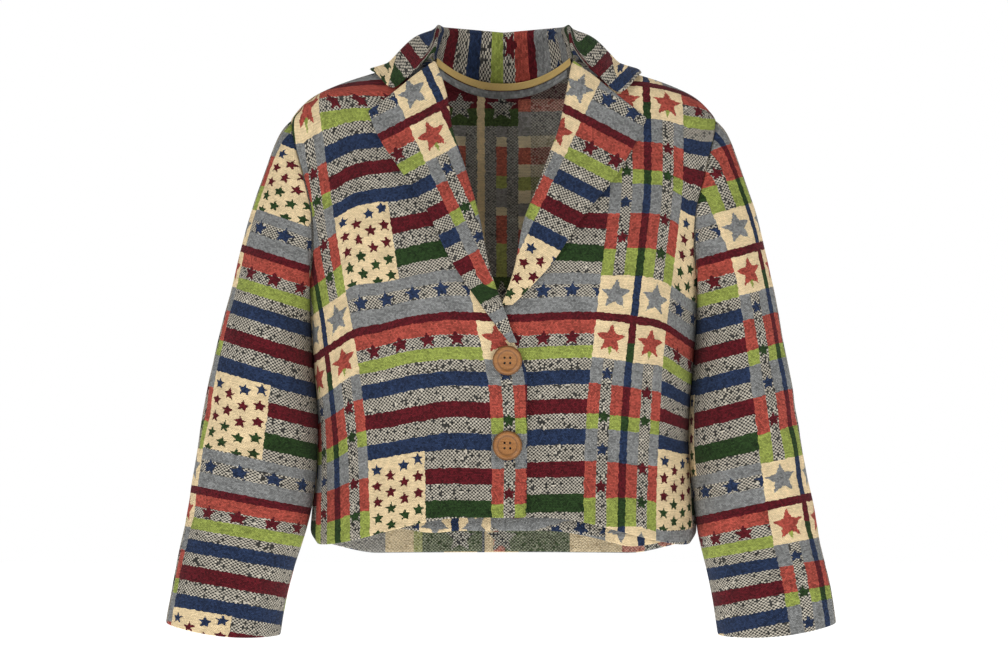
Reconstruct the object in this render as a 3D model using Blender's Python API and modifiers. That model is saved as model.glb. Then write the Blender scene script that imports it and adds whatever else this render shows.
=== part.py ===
# Cropped jacket in patchwork-woven cotton, filled out as if worn, with nobody in it.
# Lengths below are millimetres. X points to the wearer's left, Y to the back and Z up.
# The origin is the middle of the neck opening, at the height of the back neck seam.

import bisect
import math
from collections import namedtuple

import bmesh
import bpy
from mathutils import Matrix, Vector

MM = 0.001

# Cloth and seams
CLOTH = 2.2  # thickness of the woven cotton
SEAM_GAP = 0.3  # left between pieces that are sewn together
OVERLAP_LIFT = CLOTH + 0.9  # how far the front that laps over stands out
SIDE_GAP = 1.2  # front to back, where the outer faces open round the body
CAP_GAP = 1.1  # sleeve to armhole, where the cloth turns over the shoulder

# Driving sizes
SHOULDER_WIDTH = 454  # armhole seam to armhole seam, over both shoulders
BACK_HEM = -507  # height of the hem at the centre back
SIDE_HEM = -493
FRONT_HEM = -461  # the hem rises in front, over the chest's fullness
UNDERARM = -234
SHOULDER_TIP = -42
NECK_POINT = 27  # height at which the shoulder seam meets the collar
BACK_NECK = -2
NECK_HALF_WIDTH = 78
BUTTON_DIAMETER = 31
BUTTON_THICKNESS = 4.6
BUTTON_X = 4
BUTTON_HEIGHTS = {"button_top": -297, "button_bottom": -386}

RIGHT, LEFT = -1, 1  # the wearer's sides, as the sign of X
SIDE_NAMES = {RIGHT: "right", LEFT: "left"}
OVER = RIGHT  # the front that laps over the other

# Level sections of the body: half its width, the Y of its side seam, how far it reaches
# to the front and back of that, and the power of each half's superellipse.
Section = namedtuple("Section", "height half_width middle front back front_power back_power")
BODY = [
    Section(-510, 207, 0, 117, 105, 2.3, 2.4),
    Section(-470, 205, 0, 114, 102, 2.3, 2.4),
    Section(-384, 198, 0, 106, 93, 2.3, 2.4),
    Section(-300, 203, 0, 114, 99, 2.3, 2.4),
    Section(UNDERARM, 210, 2, 119, 105, 2.2, 2.3),
    Section(-170, 223, 4, 113, 109, 2.2, 2.3),
    Section(-105, 232, 6, 95, 105, 2.1, 2.2),
    Section(-60, 231, 8, 77, 94, 2.0, 2.1),
    Section(SHOULDER_TIP, SHOULDER_WIDTH / 2, 8, 69, 88, 2.0, 2.1),
    Section(-32, 220, 9, 65, 84, 2.0, 2.1),
    Section(-17, 204, 10, 60, 79, 2.0, 2.1),
    Section(-5, 180, 10, 55, 73, 2.0, 2.1),
    Section(6, 149, 12, 48, 65, 2.0, 2.1),
    Section(NECK_POINT, NECK_HALF_WIDTH, 14, 36, 50, 2.0, 2.1),
    Section(40, 46, 15, 24, 34, 2.0, 2.0),
]

# Fullness over each side of the chest
BUST = {"x": 88, "height": -190, "reach_x": 58, "reach_z": 80, "depth": 9}

# The armhole seam: how far from the centre it runs, in front and behind
Armhole = namedtuple("Armhole", "height front_x back_x")
ARMHOLE = [
    Armhole(UNDERARM, 210, 210),
    Armhole(-222, 208, 210),
    Armhole(-200, 204, 211),
    Armhole(-170, 202, 213),
    Armhole(-137, 204, 216),
    Armhole(-105, 212, 220),
    Armhole(-80, 219, 224),
    Armhole(-60, 224, 226),
    Armhole(SHOULDER_TIP, SHOULDER_WIDTH / 2, SHOULDER_WIDTH / 2),
]

# The front edge and the lapel's roll line, as the distance from the centre towards
# each panel's own side. Below the break the fronts lap over each other.
Roll = namedtuple("Roll", "height right_x left_x")
ROLL = [
    Roll(-510, -24, -17),
    Roll(-330, -25, -17),
    Roll(-308, -24, -17),
    Roll(-288, -16, -16),
    Roll(-270, -7, -12),
    Roll(-250, 0, -3),
    Roll(-203, 17, 14),
    Roll(-154, 27, 24),
    Roll(-120, 36, 37),
    Roll(-85, 47, 50),
    Roll(-58, 56, 60),
    Roll(-21, 62, 68),
    Roll(16, 74, 75),
    Roll(NECK_POINT, NECK_HALF_WIDTH, NECK_HALF_WIDTH),
]
GORGE = 15  # height at which the roll line meets the collar
BREAK = {RIGHT: -279, LEFT: -240}

# The lapel's free edge, from the break up to its corner
Edge = namedtuple("Edge", "height x")
LAPEL_EDGE = {
    RIGHT: [
        Edge(-279, -6),
        Edge(-238, 25),
        Edge(-192, 56),
        Edge(-136, 83),
        Edge(-96, 110),
        Edge(-66, 130),
        Edge(-36, 143),
    ],
    LEFT: [
        Edge(-240, 9),
        Edge(-228, 22),
        Edge(-195, 52),
        Edge(-152, 80),
        Edge(-110, 114),
        Edge(-69, 139),
        Edge(-43, 151),
    ],
}
NOTCH_SHARE = 0.58  # of the lapel's top edge, sewn to the collar
LAPEL_ROLL = 6.0  # how far the roll stands proud of the front
LAPEL_LIE = 3.0  # and its free edge
LAPEL_WRAP = 0.3  # share of the lapel's grid that turns round the roll

# Where a fold lies, its lean from upright in degrees, its half length and half width,
# and how far it sinks (below nought) or rises
Fold = namedtuple("Fold", "across height lean half_length half_width rise")

# Sections of a sleeve from the armhole down: the ends of its width, the Y of its middle
# and half its depth
Sleeve = namedtuple("Sleeve", "outer_x outer_z inner_x inner_z middle half_depth")
SLEEVE = [
    Sleeve(228, -44, 211, -236, 2, 50),
    Sleeve(238, -55, 212.5, -242, 0, 51),
    Sleeve(248, -77, 211.0, -256, 0, 54),
    Sleeve(262, -120, 208.0, -278, -1, 57),
    Sleeve(275, -165, 206.0, -298, -3, 58),
    Sleeve(288, -217, 204.0, -322, -6, 58),
    Sleeve(301, -273, 202.0, -348, -10, 57),
    Sleeve(312, -322, 200.6, -376, -14, 56),
    Sleeve(323, -382, 202.0, -414, -17, 55),
    Sleeve(331, -436, 206.0, -450, -19, 54),
    Sleeve(340, -484, 214, -490, -20, 53),
    Sleeve(350, -532, 228, -543, -21, 52),
    Sleeve(357, -576, 236, -589, -21, 51),
]
SLEEVE_SWING = {RIGHT: 0, LEFT: -4.5}  # how much further in the cuff hangs
SLEEVE_SLIM = {RIGHT: -1, LEFT: 5.5}  # taken off the outer edge at the elbow
ELBOW, ELBOW_REACH = -350, 130
HEAD_LENGTH = 120  # over which the armhole's shape becomes the sleeve's own
CUFF_DIP = 5  # how far the cuff drops at its front and back

# The collar from the centre back to the gorge: the top of its fold, the middle of its
# leaf and the leaf's free edge
Collar = namedtuple("Collar", "share fold middle edge")
COLLAR = [
    Collar(0.00, (0, 77, 56), (0, 93, 25), (0, 92, -13)),
    Collar(0.25, (37, 71, 59), (50, 86, 27), (58, 87, -12)),
    Collar(0.50, (63, 49, 60), (86, 60, 31), (104, 66, -6)),
    Collar(0.72, (71, 14, 59), (102, 20, 39), (134, 36, 4)),
    Collar(0.87, (74, -12, 38), (107, -10, 20), (141, 13, 7)),
]
SHOULDER_SHARE = 0.72  # where the shoulder seam meets the collar
COLLAR_CORNER = {RIGHT: (140, -5, 9), LEFT: (146, -6, 4)}
GORGE_STEP = 0.014  # gap of the gorge seam, as a share of the lapel's height
COLLAR_CLEARANCE = 5.2  # outer face of the leaf to the cloth below it

# Largest folds of the solids
FRONT_FOLDS = {
    RIGHT: [
        Fold(168, -205, 8, 90, 15, -5.0),
        Fold(120, -420, -12, 80, 26, -3.0),
        Fold(62, -430, 6, 70, 24, 2.5),
        Fold(150, -300, 62, 60, 16, -3.0),
    ],
    LEFT: [
        Fold(166, -215, 10, 95, 14, -5.0),
        Fold(132, -410, -10, 85, 24, -3.0),
        Fold(78, -440, 8, 70, 26, 2.5),
        Fold(150, -310, 58, 64, 15, -3.0),
    ],
}
BACK_FOLDS = [
    Fold(-165, -190, -10, 95, 16, -5.0),
    Fold(168, -200, 12, 100, 15, -5.0),
    Fold(-60, -400, 8, 110, 26, -4.0),
    Fold(70, -415, -10, 100, 24, -4.0),
    Fold(8, -300, 86, 90, 14, -2.5),
    Fold(-120, -330, 64, 60, 15, -3.0),
]
# On a sleeve, across is the angle round it from the outer edge through the front
SLEEVE_FOLDS = {
    RIGHT: [
        Fold(150, -300, 60, 55, 12, -4.0),
        Fold(120, -372, 72, 60, 11, -3.5),
        Fold(210, -395, -65, 60, 12, -4.0),
        Fold(60, -440, 55, 55, 12, -2.5),
        Fold(250, -330, -60, 55, 13, -3.0),
    ],
    LEFT: [
        Fold(145, -310, 58, 55, 12, -4.0),
        Fold(125, -385, 70, 60, 11, -3.5),
        Fold(215, -410, -62, 60, 12, -4.0),
        Fold(70, -455, 60, 55, 12, -2.5),
        Fold(245, -340, -58, 55, 13, -3.0),
    ],
}

COLOURS = {
    "oat": (0.73, 0.60, 0.38),
    "claret": (0.115, 0.012, 0.020),
    "clay": (0.42, 0.095, 0.060),
    "moss": (0.030, 0.075, 0.022),
    "slate": (0.21, 0.23, 0.25),
    "denim": (0.026, 0.055, 0.130),
    "mustard": (0.46, 0.30, 0.085),
    "horn": (0.47, 0.17, 0.045),
}


def smooth_value(knots, values, at):
    """A smooth curve through the values, level past the ends."""
    last = len(knots) - 1
    at = min(max(at, knots[0]), knots[last])
    k = min(max(bisect.bisect_right(knots, at) - 1, 0), last - 1)

    def slope(i):
        low, high = max(i - 1, 0), min(i + 1, last)
        return (values[high] - values[low]) / (knots[high] - knots[low])

    width = knots[k + 1] - knots[k]
    f = (at - knots[k]) / width
    return (
        values[k] * (1 + 2 * f) * (1 - f) ** 2
        + values[k + 1] * f * f * (3 - 2 * f)
        + slope(k) * width * f * (1 - f) ** 2
        - slope(k + 1) * width * f * f * (1 - f)
    )


def column(table, name, at):
    return smooth_value([row.height for row in table], [getattr(row, name) for row in table], at)


def blend(a, b, share):
    return a + (b - a) * share


def ease(share):
    share = min(max(share, 0.0), 1.0)
    return share * share * (3 - 2 * share)


def fold_rise(folds, across, height):
    """How far the folds of a table lift the cloth at a place."""
    rise = 0.0
    for fold in folds:
        dx, dz = across - fold.across, height - fold.height
        lean = math.radians(fold.lean)
        along = dz * math.cos(lean) + dx * math.sin(lean)
        aside = dx * math.cos(lean) - dz * math.sin(lean)
        rise += fold.rise * math.exp(-((along / fold.half_length) ** 2) - (aside / fold.half_width) ** 2)
    return rise


def body_x(turn, height):
    return column(BODY, "half_width", height) * math.sin(turn * math.pi / 2)


def body_turn(x, height):
    """Where x lies between the centre, 0, and the side seam, 1."""
    return math.asin(min(max(x / column(BODY, "half_width", height), -1), 1)) * 2 / math.pi


def body_depth(x, height, face):
    """How far the front or back of the body reaches from its side seam's Y."""
    power = column(BODY, face + "_power", height)
    share = min(abs(x) / column(BODY, "half_width", height), 1)
    return column(BODY, face, height) * (1 - share**power) ** (1 / power)


def front_y(side, x, height):
    """Y of a front's outer face. x is measured from the centre towards its own side."""
    bust = math.exp(
        -(((x - BUST["x"]) / BUST["reach_x"]) ** 2) - ((height - BUST["height"]) / BUST["reach_z"]) ** 2
    )
    y = column(BODY, "middle", height) - body_depth(x, height, "front") - BUST["depth"] * bust
    if side == OVER:
        y -= OVERLAP_LIFT * ease((110 - x) / 70) * ease((-120 - height) / 90)
    side_seam = 1 - ease((abs(body_turn(x, height)) - 0.80) / 0.2)
    return y - fold_rise(FRONT_FOLDS[side], x, height) * side_seam * ease((40 - height) / 200)


def back_y(x, height):
    side_seam = 1 - ease((abs(body_turn(x, height)) - 0.80) / 0.2)
    rise = fold_rise(BACK_FOLDS, x, height) * side_seam * ease((-20 - height) / 120)
    return column(BODY, "middle", height) + body_depth(x, height, "back") + rise


def front_hem(x):
    return blend(FRONT_HEM, SIDE_HEM, ease((abs(x) - 40) / 170))


def back_hem(x):
    return blend(BACK_HEM, SIDE_HEM, ease((abs(x) - 135) / 75))


def filled(bottom, top, left, right, across, up):
    """A place inside four edges, each a function from 0 to 1 that gives (x, height)."""
    low, high, near, far = bottom(across), top(across), left(up), right(up)
    corners = (bottom(0), bottom(1), top(0), top(1))
    return tuple(
        blend(low[i], high[i], up)
        + blend(near[i], far[i], across)
        - blend(blend(corners[0][i], corners[1][i], across), blend(corners[2][i], corners[3][i], across), up)
        for i in (0, 1)
    )


def side_and_armhole(face, up):
    """The side seam, then the armhole up to the shoulder's tip."""
    low_share = 0.52
    if up <= low_share:
        height = blend(SIDE_HEM, UNDERARM, up / low_share)
        return column(BODY, "half_width", height), height
    climb = (up - low_share) / (1 - low_share)
    height = blend(UNDERARM, SHOULDER_TIP, blend(climb, (1 - math.cos(climb * math.pi)) / 2, 0.7))
    return column(ARMHOLE, face + "_x", height), height


def shoulder_seam(share):
    x = blend(NECK_HALF_WIDTH, SHOULDER_WIDTH / 2, share)
    rows = sorted((row.half_width, row.height) for row in BODY if row.height >= SHOULDER_TIP)
    return x, smooth_value([row[0] for row in rows], [row[1] for row in rows], x)


def seam_half_gap(height):
    """Wider over the shoulder, where the cloth turns more sharply."""
    return SIDE_GAP / 2 * (1 + ease((height + 80) / 60))


def front_place(side):
    roll_column = SIDE_NAMES[side] + "_x"

    def inner_edge(up):
        height = blend(front_hem(0), NECK_POINT, up)
        return column(ROLL, roll_column, height), height

    def hem(across):
        first = body_turn(inner_edge(0)[0], SIDE_HEM)
        x = body_x(blend(first, 1.0, across), SIDE_HEM)
        return x, front_hem(x)

    def place(across, up):
        x, height = filled(hem, shoulder_seam, inner_edge, lambda s: side_and_armhole("front", s), across, up)
        x = min(x, column(BODY, "half_width", height))
        return Vector((side * x, front_y(side, x, height) - seam_half_gap(height), height))

    return place


def back_neck(share):
    """The neck seam on one side of the back, from the centre to the shoulder seam."""
    x = NECK_HALF_WIDTH * math.sin(share * math.pi / 2)
    return x, blend(BACK_NECK, NECK_POINT, (x / NECK_HALF_WIDTH) ** 2.2)


def back_place(across, up):
    side = 1 if across >= 0.5 else -1
    outward = abs(across - 0.5) * 2
    neck_share = 0.36

    def hem(share):
        x = body_x(share, SIDE_HEM)
        return x, back_hem(x)

    def top(share):
        if share <= neck_share:
            return back_neck(share / neck_share)
        return shoulder_seam((share - neck_share) / (1 - neck_share))

    def centre(share):
        return 0.0, blend(BACK_HEM, BACK_NECK, share)

    x, height = filled(hem, top, centre, lambda s: side_and_armhole("back", s), outward, up)
    x = side * min(x, column(BODY, "half_width", height))
    return Vector((x, back_y(x, height) + seam_half_gap(height), height))


def armhole_place(side, round_angle):
    """The armhole seam, from the shoulder's tip at 0 down the front to pi and up the back."""
    height = blend(UNDERARM, SHOULDER_TIP, (1 + math.cos(round_angle)) / 2)
    face = "front" if math.sin(round_angle) >= 0 else "back"
    x = column(ARMHOLE, face + "_x", height)
    y = front_y(side, x, height) if face == "front" else back_y(x, height)
    return Vector((side * x, y, height))


def sleeve_ring(row, angle):
    """A level way round one section of a sleeve, from its outer edge through the front."""
    outer = Vector((row.outer_x, row.middle, row.outer_z))
    inner = Vector((row.inner_x, row.middle, row.inner_z))
    half = (outer - inner) / 2
    deep = Vector((0, row.half_depth * math.sin(angle), 0))
    return (outer + inner) / 2 + half * math.cos(angle) - deep, half.normalized()


def sleeve_place(side):
    knots = [0.0]
    for a, b in zip(SLEEVE, SLEEVE[1:]):
        knots.append(knots[-1] + math.hypot(b.outer_x - a.outer_x, b.outer_z - a.outer_z))
    length = knots[-1]

    def place(around, down):
        angle = around * math.tau
        at = down * length
        row = Sleeve(*(smooth_value(knots, [getattr(r, f) for r in SLEEVE], at) for f in Sleeve._fields))
        slim = SLEEVE_SLIM[side] * math.exp(-(((row.outer_z - ELBOW) / ELBOW_REACH) ** 2))
        row = row._replace(outer_x=row.outer_x - slim * ease(at / HEAD_LENGTH))
        point, width_way = sleeve_ring(row, angle)
        inner_share = (1 - math.cos(angle)) / 2
        hangs = ease((-250 - row.outer_z) / 320) + inner_share * ease((-430 - row.outer_z) / 130)
        point.x += SLEEVE_SWING[side] * hangs
        point.z -= CUFF_DIP * math.sin(angle) ** 2 * down**3
        outward = (width_way * math.cos(angle) - Vector((0, math.sin(angle), 0))).normalized()
        folds = fold_rise(SLEEVE_FOLDS[side], math.degrees(angle), point.z)
        off_body = ease((1.0 - math.cos(angle + math.pi)) * 1.6)
        point += outward * min(folds, 0.6) * ease((at - 110) / 60) * off_body
        point.x *= side
        if at < HEAD_LENGTH:
            gap = CAP_GAP * (1 + ease(math.cos(angle) * 1.6 - 0.6))
            start = armhole_place(side, angle) + Vector((side * gap, 0, 0))
            first = sleeve_ring(SLEEVE[0], angle)[0]
            first.x *= side
            point += (start - first) * (1 - ease(at / HEAD_LENGTH))
        return point

    return place


def front_normal(side, x, height):
    step = 2.0
    slope_x = (front_y(side, x + step, height) - front_y(side, x - step, height)) / (2 * step)
    slope_z = (front_y(side, x, height + step) - front_y(side, x, height - step)) / (2 * step)
    return Vector((slope_x, -1, slope_z)).normalized()


def lapel_edges(side, up):
    """The ends of the lapel's width at a share of its height, as (x, height)."""
    edge = LAPEL_EDGE[side]
    roll_z = blend(BREAK[side], GORGE, up)
    edge_z = blend(edge[0].height, edge[-1].height, up)
    roll_x = column(ROLL, SIDE_NAMES[side] + "_x", roll_z)
    return Vector((roll_x, roll_z)), Vector((column(edge, "x", edge_z), edge_z))


def lapel_place(side):
    steps = [0.0, 0.35, 0.7, 1.0]

    def place(across, up):
        roll, edge = lapel_edges(side, up)
        width = (edge - roll).length
        full = ease((width - 6) / 30)  # the roll flattens out towards the break
        proud = blend(LAPEL_LIE, LAPEL_ROLL, full)
        turn_end = min(5.0, 0.25 * width)
        if across < LAPEL_WRAP:
            flat_off = [-3.0, -2.2, -1.0, turn_end]
            round_off = [-3.0, -3.4, -1.4, turn_end]
            round_high = [-2.0, 1.2, proud - 0.9, proud]
            offs = [blend(a, b, full) for a, b in zip(flat_off, round_off)]
            highs = [blend(LAPEL_LIE, b, full) for b in round_high]
            off = smooth_value(steps, offs, across / LAPEL_WRAP)
            high = smooth_value(steps, highs, across / LAPEL_WRAP)
        else:
            share = (across - LAPEL_WRAP) / (1 - LAPEL_WRAP)
            off = blend(turn_end, width, share)
            high = blend(proud, LAPEL_LIE, ease(share))
        flat = roll + (edge - roll).normalized() * off
        high += seam_half_gap(flat.y)
        normal = front_normal(side, flat.x, flat.y)
        point = Vector((flat.x, front_y(side, flat.x, flat.y), flat.y)) + normal * high
        point.x *= side
        return point

    return place


def clear_of_body(point, need):
    """The point, moved out where it lies nearer than need to the body's outer face."""
    if point.z > NECK_POINT:
        return point

    def outside(p):
        face = "front" if p.y < column(BODY, "middle", p.z) else "back"
        power = column(BODY, face + "_power", p.z)
        across = abs(p.x) / column(BODY, "half_width", p.z)
        deep = abs(p.y - column(BODY, "middle", p.z)) / column(BODY, face, p.z)
        return (across**power + deep**power) ** (1 / power) - 1

    step = 0.5
    here = outside(point)
    slope = Vector(
        [
            (outside(point + axis * step) - outside(point - axis * step)) / (2 * step)
            for axis in (Vector((1, 0, 0)), Vector((0, 1, 0)), Vector((0, 0, 1)))
        ]
    )
    missing = need - here / slope.length
    return point + slope.normalized() * missing if missing > 0 else point


def neck_seam(share):
    """The collar's lower edge, just inside and above the neck's seams."""
    if share <= SHOULDER_SHARE:
        x, height = back_neck(share / SHOULDER_SHARE)
        seam = Vector((x, back_y(x, height), height))
    else:
        height = blend(NECK_POINT, GORGE, ((share - SHOULDER_SHARE) / (1 - SHOULDER_SHARE)) ** 1.6)
        x = column(ROLL, "left_x", height)
        seam = Vector((x, front_y(LEFT, x, height), height))
    inward = -Vector((seam.x, seam.y - column(BODY, "middle", height), 0)).normalized()
    return seam + inward * 1.0 + Vector((0, 0, 1.3))


COLLAR_STOPS = [0.0, 0.18, 0.32, 0.40, 0.48, 0.72, 1.0]  # shares across, from the neck seam to the free edge


def collar_section(row):
    """Points up the stand, over the fold and down the leaf."""
    neck, fold, middle, edge = neck_seam(row.share), Vector(row.fold), Vector(row.middle), Vector(row.edge)
    inward = Vector((neck.x - middle.x, neck.y - middle.y, 0)).normalized() * 3.0
    drop = min(5.0, (fold - neck).length * 0.3)
    return [
        neck,
        blend(neck, fold, 0.5) + inward * 0.4,
        fold + inward - Vector((0, 0, drop)),
        fold,
        fold - inward * 1.3 - Vector((0, 0, drop * 0.8)),
        middle,
        edge,
    ]


def gorge_section(side):
    """The collar's end: it carries on the lapel's surface as far as the notch."""
    lapel = lapel_place(side)
    notch = blend(LAPEL_WRAP, 1.0, NOTCH_SHARE)
    shares = [0.06, 0.14, 0.22, 0.3, blend(LAPEL_WRAP, notch, 0.3), notch]
    points = [lapel(share, 1 + GORGE_STEP) for share in shares]
    for point in points:
        point.x *= side
    return points + [Vector(COLLAR_CORNER[side])]


def collar_place(along, across):
    side = LEFT if along >= 0.5 else RIGHT
    share = abs(along - 0.5) * 2
    shares = [row.share for row in COLLAR] + [1.0]
    sections = [collar_section(row) for row in COLLAR] + [gorge_section(side)]
    point = Vector(
        [
            smooth_value(
                shares,
                [smooth_value(COLLAR_STOPS, [p[axis] for p in section], across) for section in sections],
                share,
            )
            for axis in range(3)
        ]
    )
    if across > 0.45:
        point = clear_of_body(point, COLLAR_CLEARANCE)
    point.x *= side
    return point


def inside_back_place(low, high, reach, off):
    """A strip inside the back of the neck, between two offsets from the neck seam."""

    def place(across, up):
        share = (across - 0.5) * 2 * reach
        x = NECK_HALF_WIDTH * math.sin(share * math.pi / 2)
        seam = blend(BACK_NECK, NECK_POINT, (abs(x) / NECK_HALF_WIDTH) ** 2.2)
        height = seam + blend(low, high, up)
        base = column(BODY, "middle", seam) + body_depth(x, seam, "back") - CLOTH
        inward = Vector((x, base - column(BODY, "middle", seam), 0)).normalized()
        lean = blend(0.0, 1.4, ease((height - seam + 4) / 8))
        return Vector((x, base, height)) - inward * (off + lean)

    return place


def hem_turn_place(across, up):
    """The fronts' turned hem, which drops out of line behind their edge."""
    x = blend(-128, 186, across)
    ends = ease(min(across, 1 - across) * 5)
    low = front_hem(x) - 15 * ends + 4
    height = blend(low, front_hem(x) + 16, up)
    side = LEFT if x > 0 else RIGHT
    y = column(BODY, "middle", height) - body_depth(x, height, "front")
    return Vector((x, y + 5.0 + 3.0 * ends * (1 - up), height))


def collection(name):
    made = bpy.data.collections.new(name)
    bpy.context.scene.collection.children.link(made)
    return made


def material(name, colour, roughness):
    made = bpy.data.materials.new(name)
    made.use_nodes = True
    shader = made.node_tree.nodes["Principled BSDF"]
    shader.inputs["Base Color"].default_value = (*colour, 1)
    shader.inputs["Roughness"].default_value = roughness
    shader.inputs["Metallic"].default_value = 0.0
    return made


def cloth(name, place, columns, rows, colour, behind, probe=(0.5, 0.5), around=False, wall=CLOTH):
    """A sheet of columns by rows, placed by a function of two shares, as a wall.

    The wall is behind the placed sheet: behind is a point on that side of the probed place.
    """
    bm = bmesh.new()
    bmesh.ops.create_grid(bm, x_segments=columns, y_segments=rows, size=1)
    for vertex in bm.verts:
        across, up = (vertex.co.x + 1) / 2, (vertex.co.y + 1) / 2
        if around and across > 1 - 1e-6:
            across = 0.0
        vertex.co = place(across, up) * MM
    step = 0.01
    here = place(*probe)
    normal = (place(probe[0] + step, probe[1]) - here).cross(place(probe[0], probe[1] + step) - here)
    if normal.dot(here - Vector(behind)) < 0:
        bmesh.ops.reverse_faces(bm, faces=bm.faces)
    if around:
        bmesh.ops.remove_doubles(bm, verts=bm.verts, dist=1e-6)
    mesh = bpy.data.meshes.new(name)
    bm.to_mesh(mesh)
    bm.free()
    mesh.shade_smooth()
    mesh.materials.append(material(name + "_cloth", colour, 0.92))
    piece = bpy.data.objects.new(name, mesh)
    shell = piece.modifiers.new("wall", "SOLIDIFY")
    shell.thickness = wall * MM
    shell.offset = -1
    jacket.objects.link(piece)
    return piece


def button(name, height):
    """A four-hole button with a raised rim, on the overlapping front."""
    radius = BUTTON_DIAMETER / 2
    profile = [
        (0.0, 3.0),
        (radius * 0.56, 3.0),
        (radius * 0.68, 3.4),
        (radius * 0.80, BUTTON_THICKNESS),
        (radius * 0.93, BUTTON_THICKNESS * 0.96),
        (radius, BUTTON_THICKNESS * 0.62),
        (radius * 0.97, BUTTON_THICKNESS * 0.25),
        (radius * 0.84, 0.0),
        (0.0, 0.0),
    ]
    mesh = bpy.data.meshes.new(name)
    points = [(x * MM, 0, z * MM) for x, z in profile]
    mesh.from_pydata(points, [(k, k + 1) for k in range(len(points) - 1)], [])
    mesh.materials.append(material(name + "_horn", COLOURS["horn"], 0.35))
    piece = bpy.data.objects.new(name, mesh)
    turned = piece.modifiers.new("turned", "SCREW")
    turned.steps = turned.render_steps = 24
    turned.use_merge_vertices = True
    turned.merge_threshold = 1e-6
    jacket.objects.link(piece)
    normal = front_normal(OVER, -BUTTON_X, height)
    normal.x *= OVER
    seat = Vector((BUTTON_X, front_y(OVER, -BUTTON_X, height), height)) + normal * (SEAM_GAP + 1.0)
    turn = Vector((0, 0, 1)).rotation_difference(normal).to_matrix().to_4x4()
    piece.matrix_world = Matrix.Translation(seat * MM) @ turn
    spacing = radius * 0.19
    for row in (-1, 1):
        for step in (-1, 1):
            bpy.ops.mesh.primitive_cylinder_add(vertices=10, radius=1.15 * MM, depth=20 * MM)
            hole = bpy.context.object
            hole.name = f"{name}_hole_{'low' if row < 0 else 'high'}_{'a' if step < 0 else 'b'}"
            hole.matrix_world = piece.matrix_world @ Matrix.Translation((step * spacing * MM, row * spacing * MM, 0))
            hole.hide_render = True
            hole.display_type = "WIRE"
            for home in list(hole.users_collection):
                home.objects.unlink(hole)
            cutters.objects.link(hole)
            cut = piece.modifiers.new(hole.name, "BOOLEAN")
            cut.object = hole
            cut.operation = "DIFFERENCE"
    return piece


for old in list(bpy.data.objects):
    bpy.data.objects.remove(old)
jacket = collection("cropped_jacket")
cutters = collection("cutters")

INSIDE = (0, 0, -150)
cloth("front_right", front_place(RIGHT), 12, 20, COLOURS["claret"], INSIDE)
cloth("front_left", front_place(LEFT), 12, 20, COLOURS["denim"], INSIDE)
cloth("back", back_place, 22, 20, COLOURS["slate"], INSIDE)
for sleeve_side in (RIGHT, LEFT):
    middle_of_sleeve = (sleeve_side * 255, -8, -330)
    cloth(
        "sleeve_" + SIDE_NAMES[sleeve_side],
        sleeve_place(sleeve_side),
        20,
        22,
        COLOURS["moss"] if sleeve_side == RIGHT else COLOURS["clay"],
        middle_of_sleeve,
        probe=(0.25, 0.5),
        around=True,
    )
    cloth(
        "lapel_" + SIDE_NAMES[sleeve_side],
        lapel_place(sleeve_side),
        8,
        13,
        COLOURS["oat"],
        INSIDE,
        probe=(0.7, 0.6),
    )
cloth("collar", collar_place, 28, 11, COLOURS["clay"], (0, 20, 10), probe=(0.5, 0.85))
cloth("neck_binding", inside_back_place(-5.2, 2.6, 0.80, 2.6), 18, 2, COLOURS["mustard"], (0, 150, 0), wall=1.0)
cloth("neck_seam_allowance", inside_back_place(-14.0, -5.6, 0.70, 1.6), 16, 2, COLOURS["oat"], (0, 150, 0), wall=1.0)
cloth("hem_turn", hem_turn_place, 22, 3, COLOURS["slate"], INSIDE, wall=1.6)
for button_name, button_height in BUTTON_HEIGHTS.items():
    button(button_name, button_height)
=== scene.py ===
# The looks of a cropped jacket in patchwork-woven cotton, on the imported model's frame.
# Shapes are worked out in millimetres in the model's own frame and turned to metres last.

import bisect
import functools
import math
from types import SimpleNamespace

import bmesh
import bpy
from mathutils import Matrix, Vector, noise


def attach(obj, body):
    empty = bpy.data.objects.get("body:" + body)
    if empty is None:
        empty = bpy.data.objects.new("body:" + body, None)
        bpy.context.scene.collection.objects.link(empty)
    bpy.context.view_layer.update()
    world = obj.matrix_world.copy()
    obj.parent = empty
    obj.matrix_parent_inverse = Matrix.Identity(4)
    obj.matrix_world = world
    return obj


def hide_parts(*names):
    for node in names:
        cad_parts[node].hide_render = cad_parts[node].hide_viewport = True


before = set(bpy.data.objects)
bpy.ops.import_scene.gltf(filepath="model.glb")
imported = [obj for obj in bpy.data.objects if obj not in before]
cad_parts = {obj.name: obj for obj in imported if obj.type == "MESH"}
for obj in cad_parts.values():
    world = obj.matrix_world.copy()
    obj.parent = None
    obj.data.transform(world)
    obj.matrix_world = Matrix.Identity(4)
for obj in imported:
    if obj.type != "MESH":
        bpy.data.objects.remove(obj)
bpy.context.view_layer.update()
mm = 0.001
right, left = -1, 1  # the wearer's sides, as the sign of x
sideNames = {right: "right", left: "left"}
detail = 1
print("frame loaded")


def blend(a, b, share):
    return a + (b - a) * share


def ease(share):
    share = min(max(share, 0), 1)
    return share * share * (3 - 2 * share)


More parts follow.
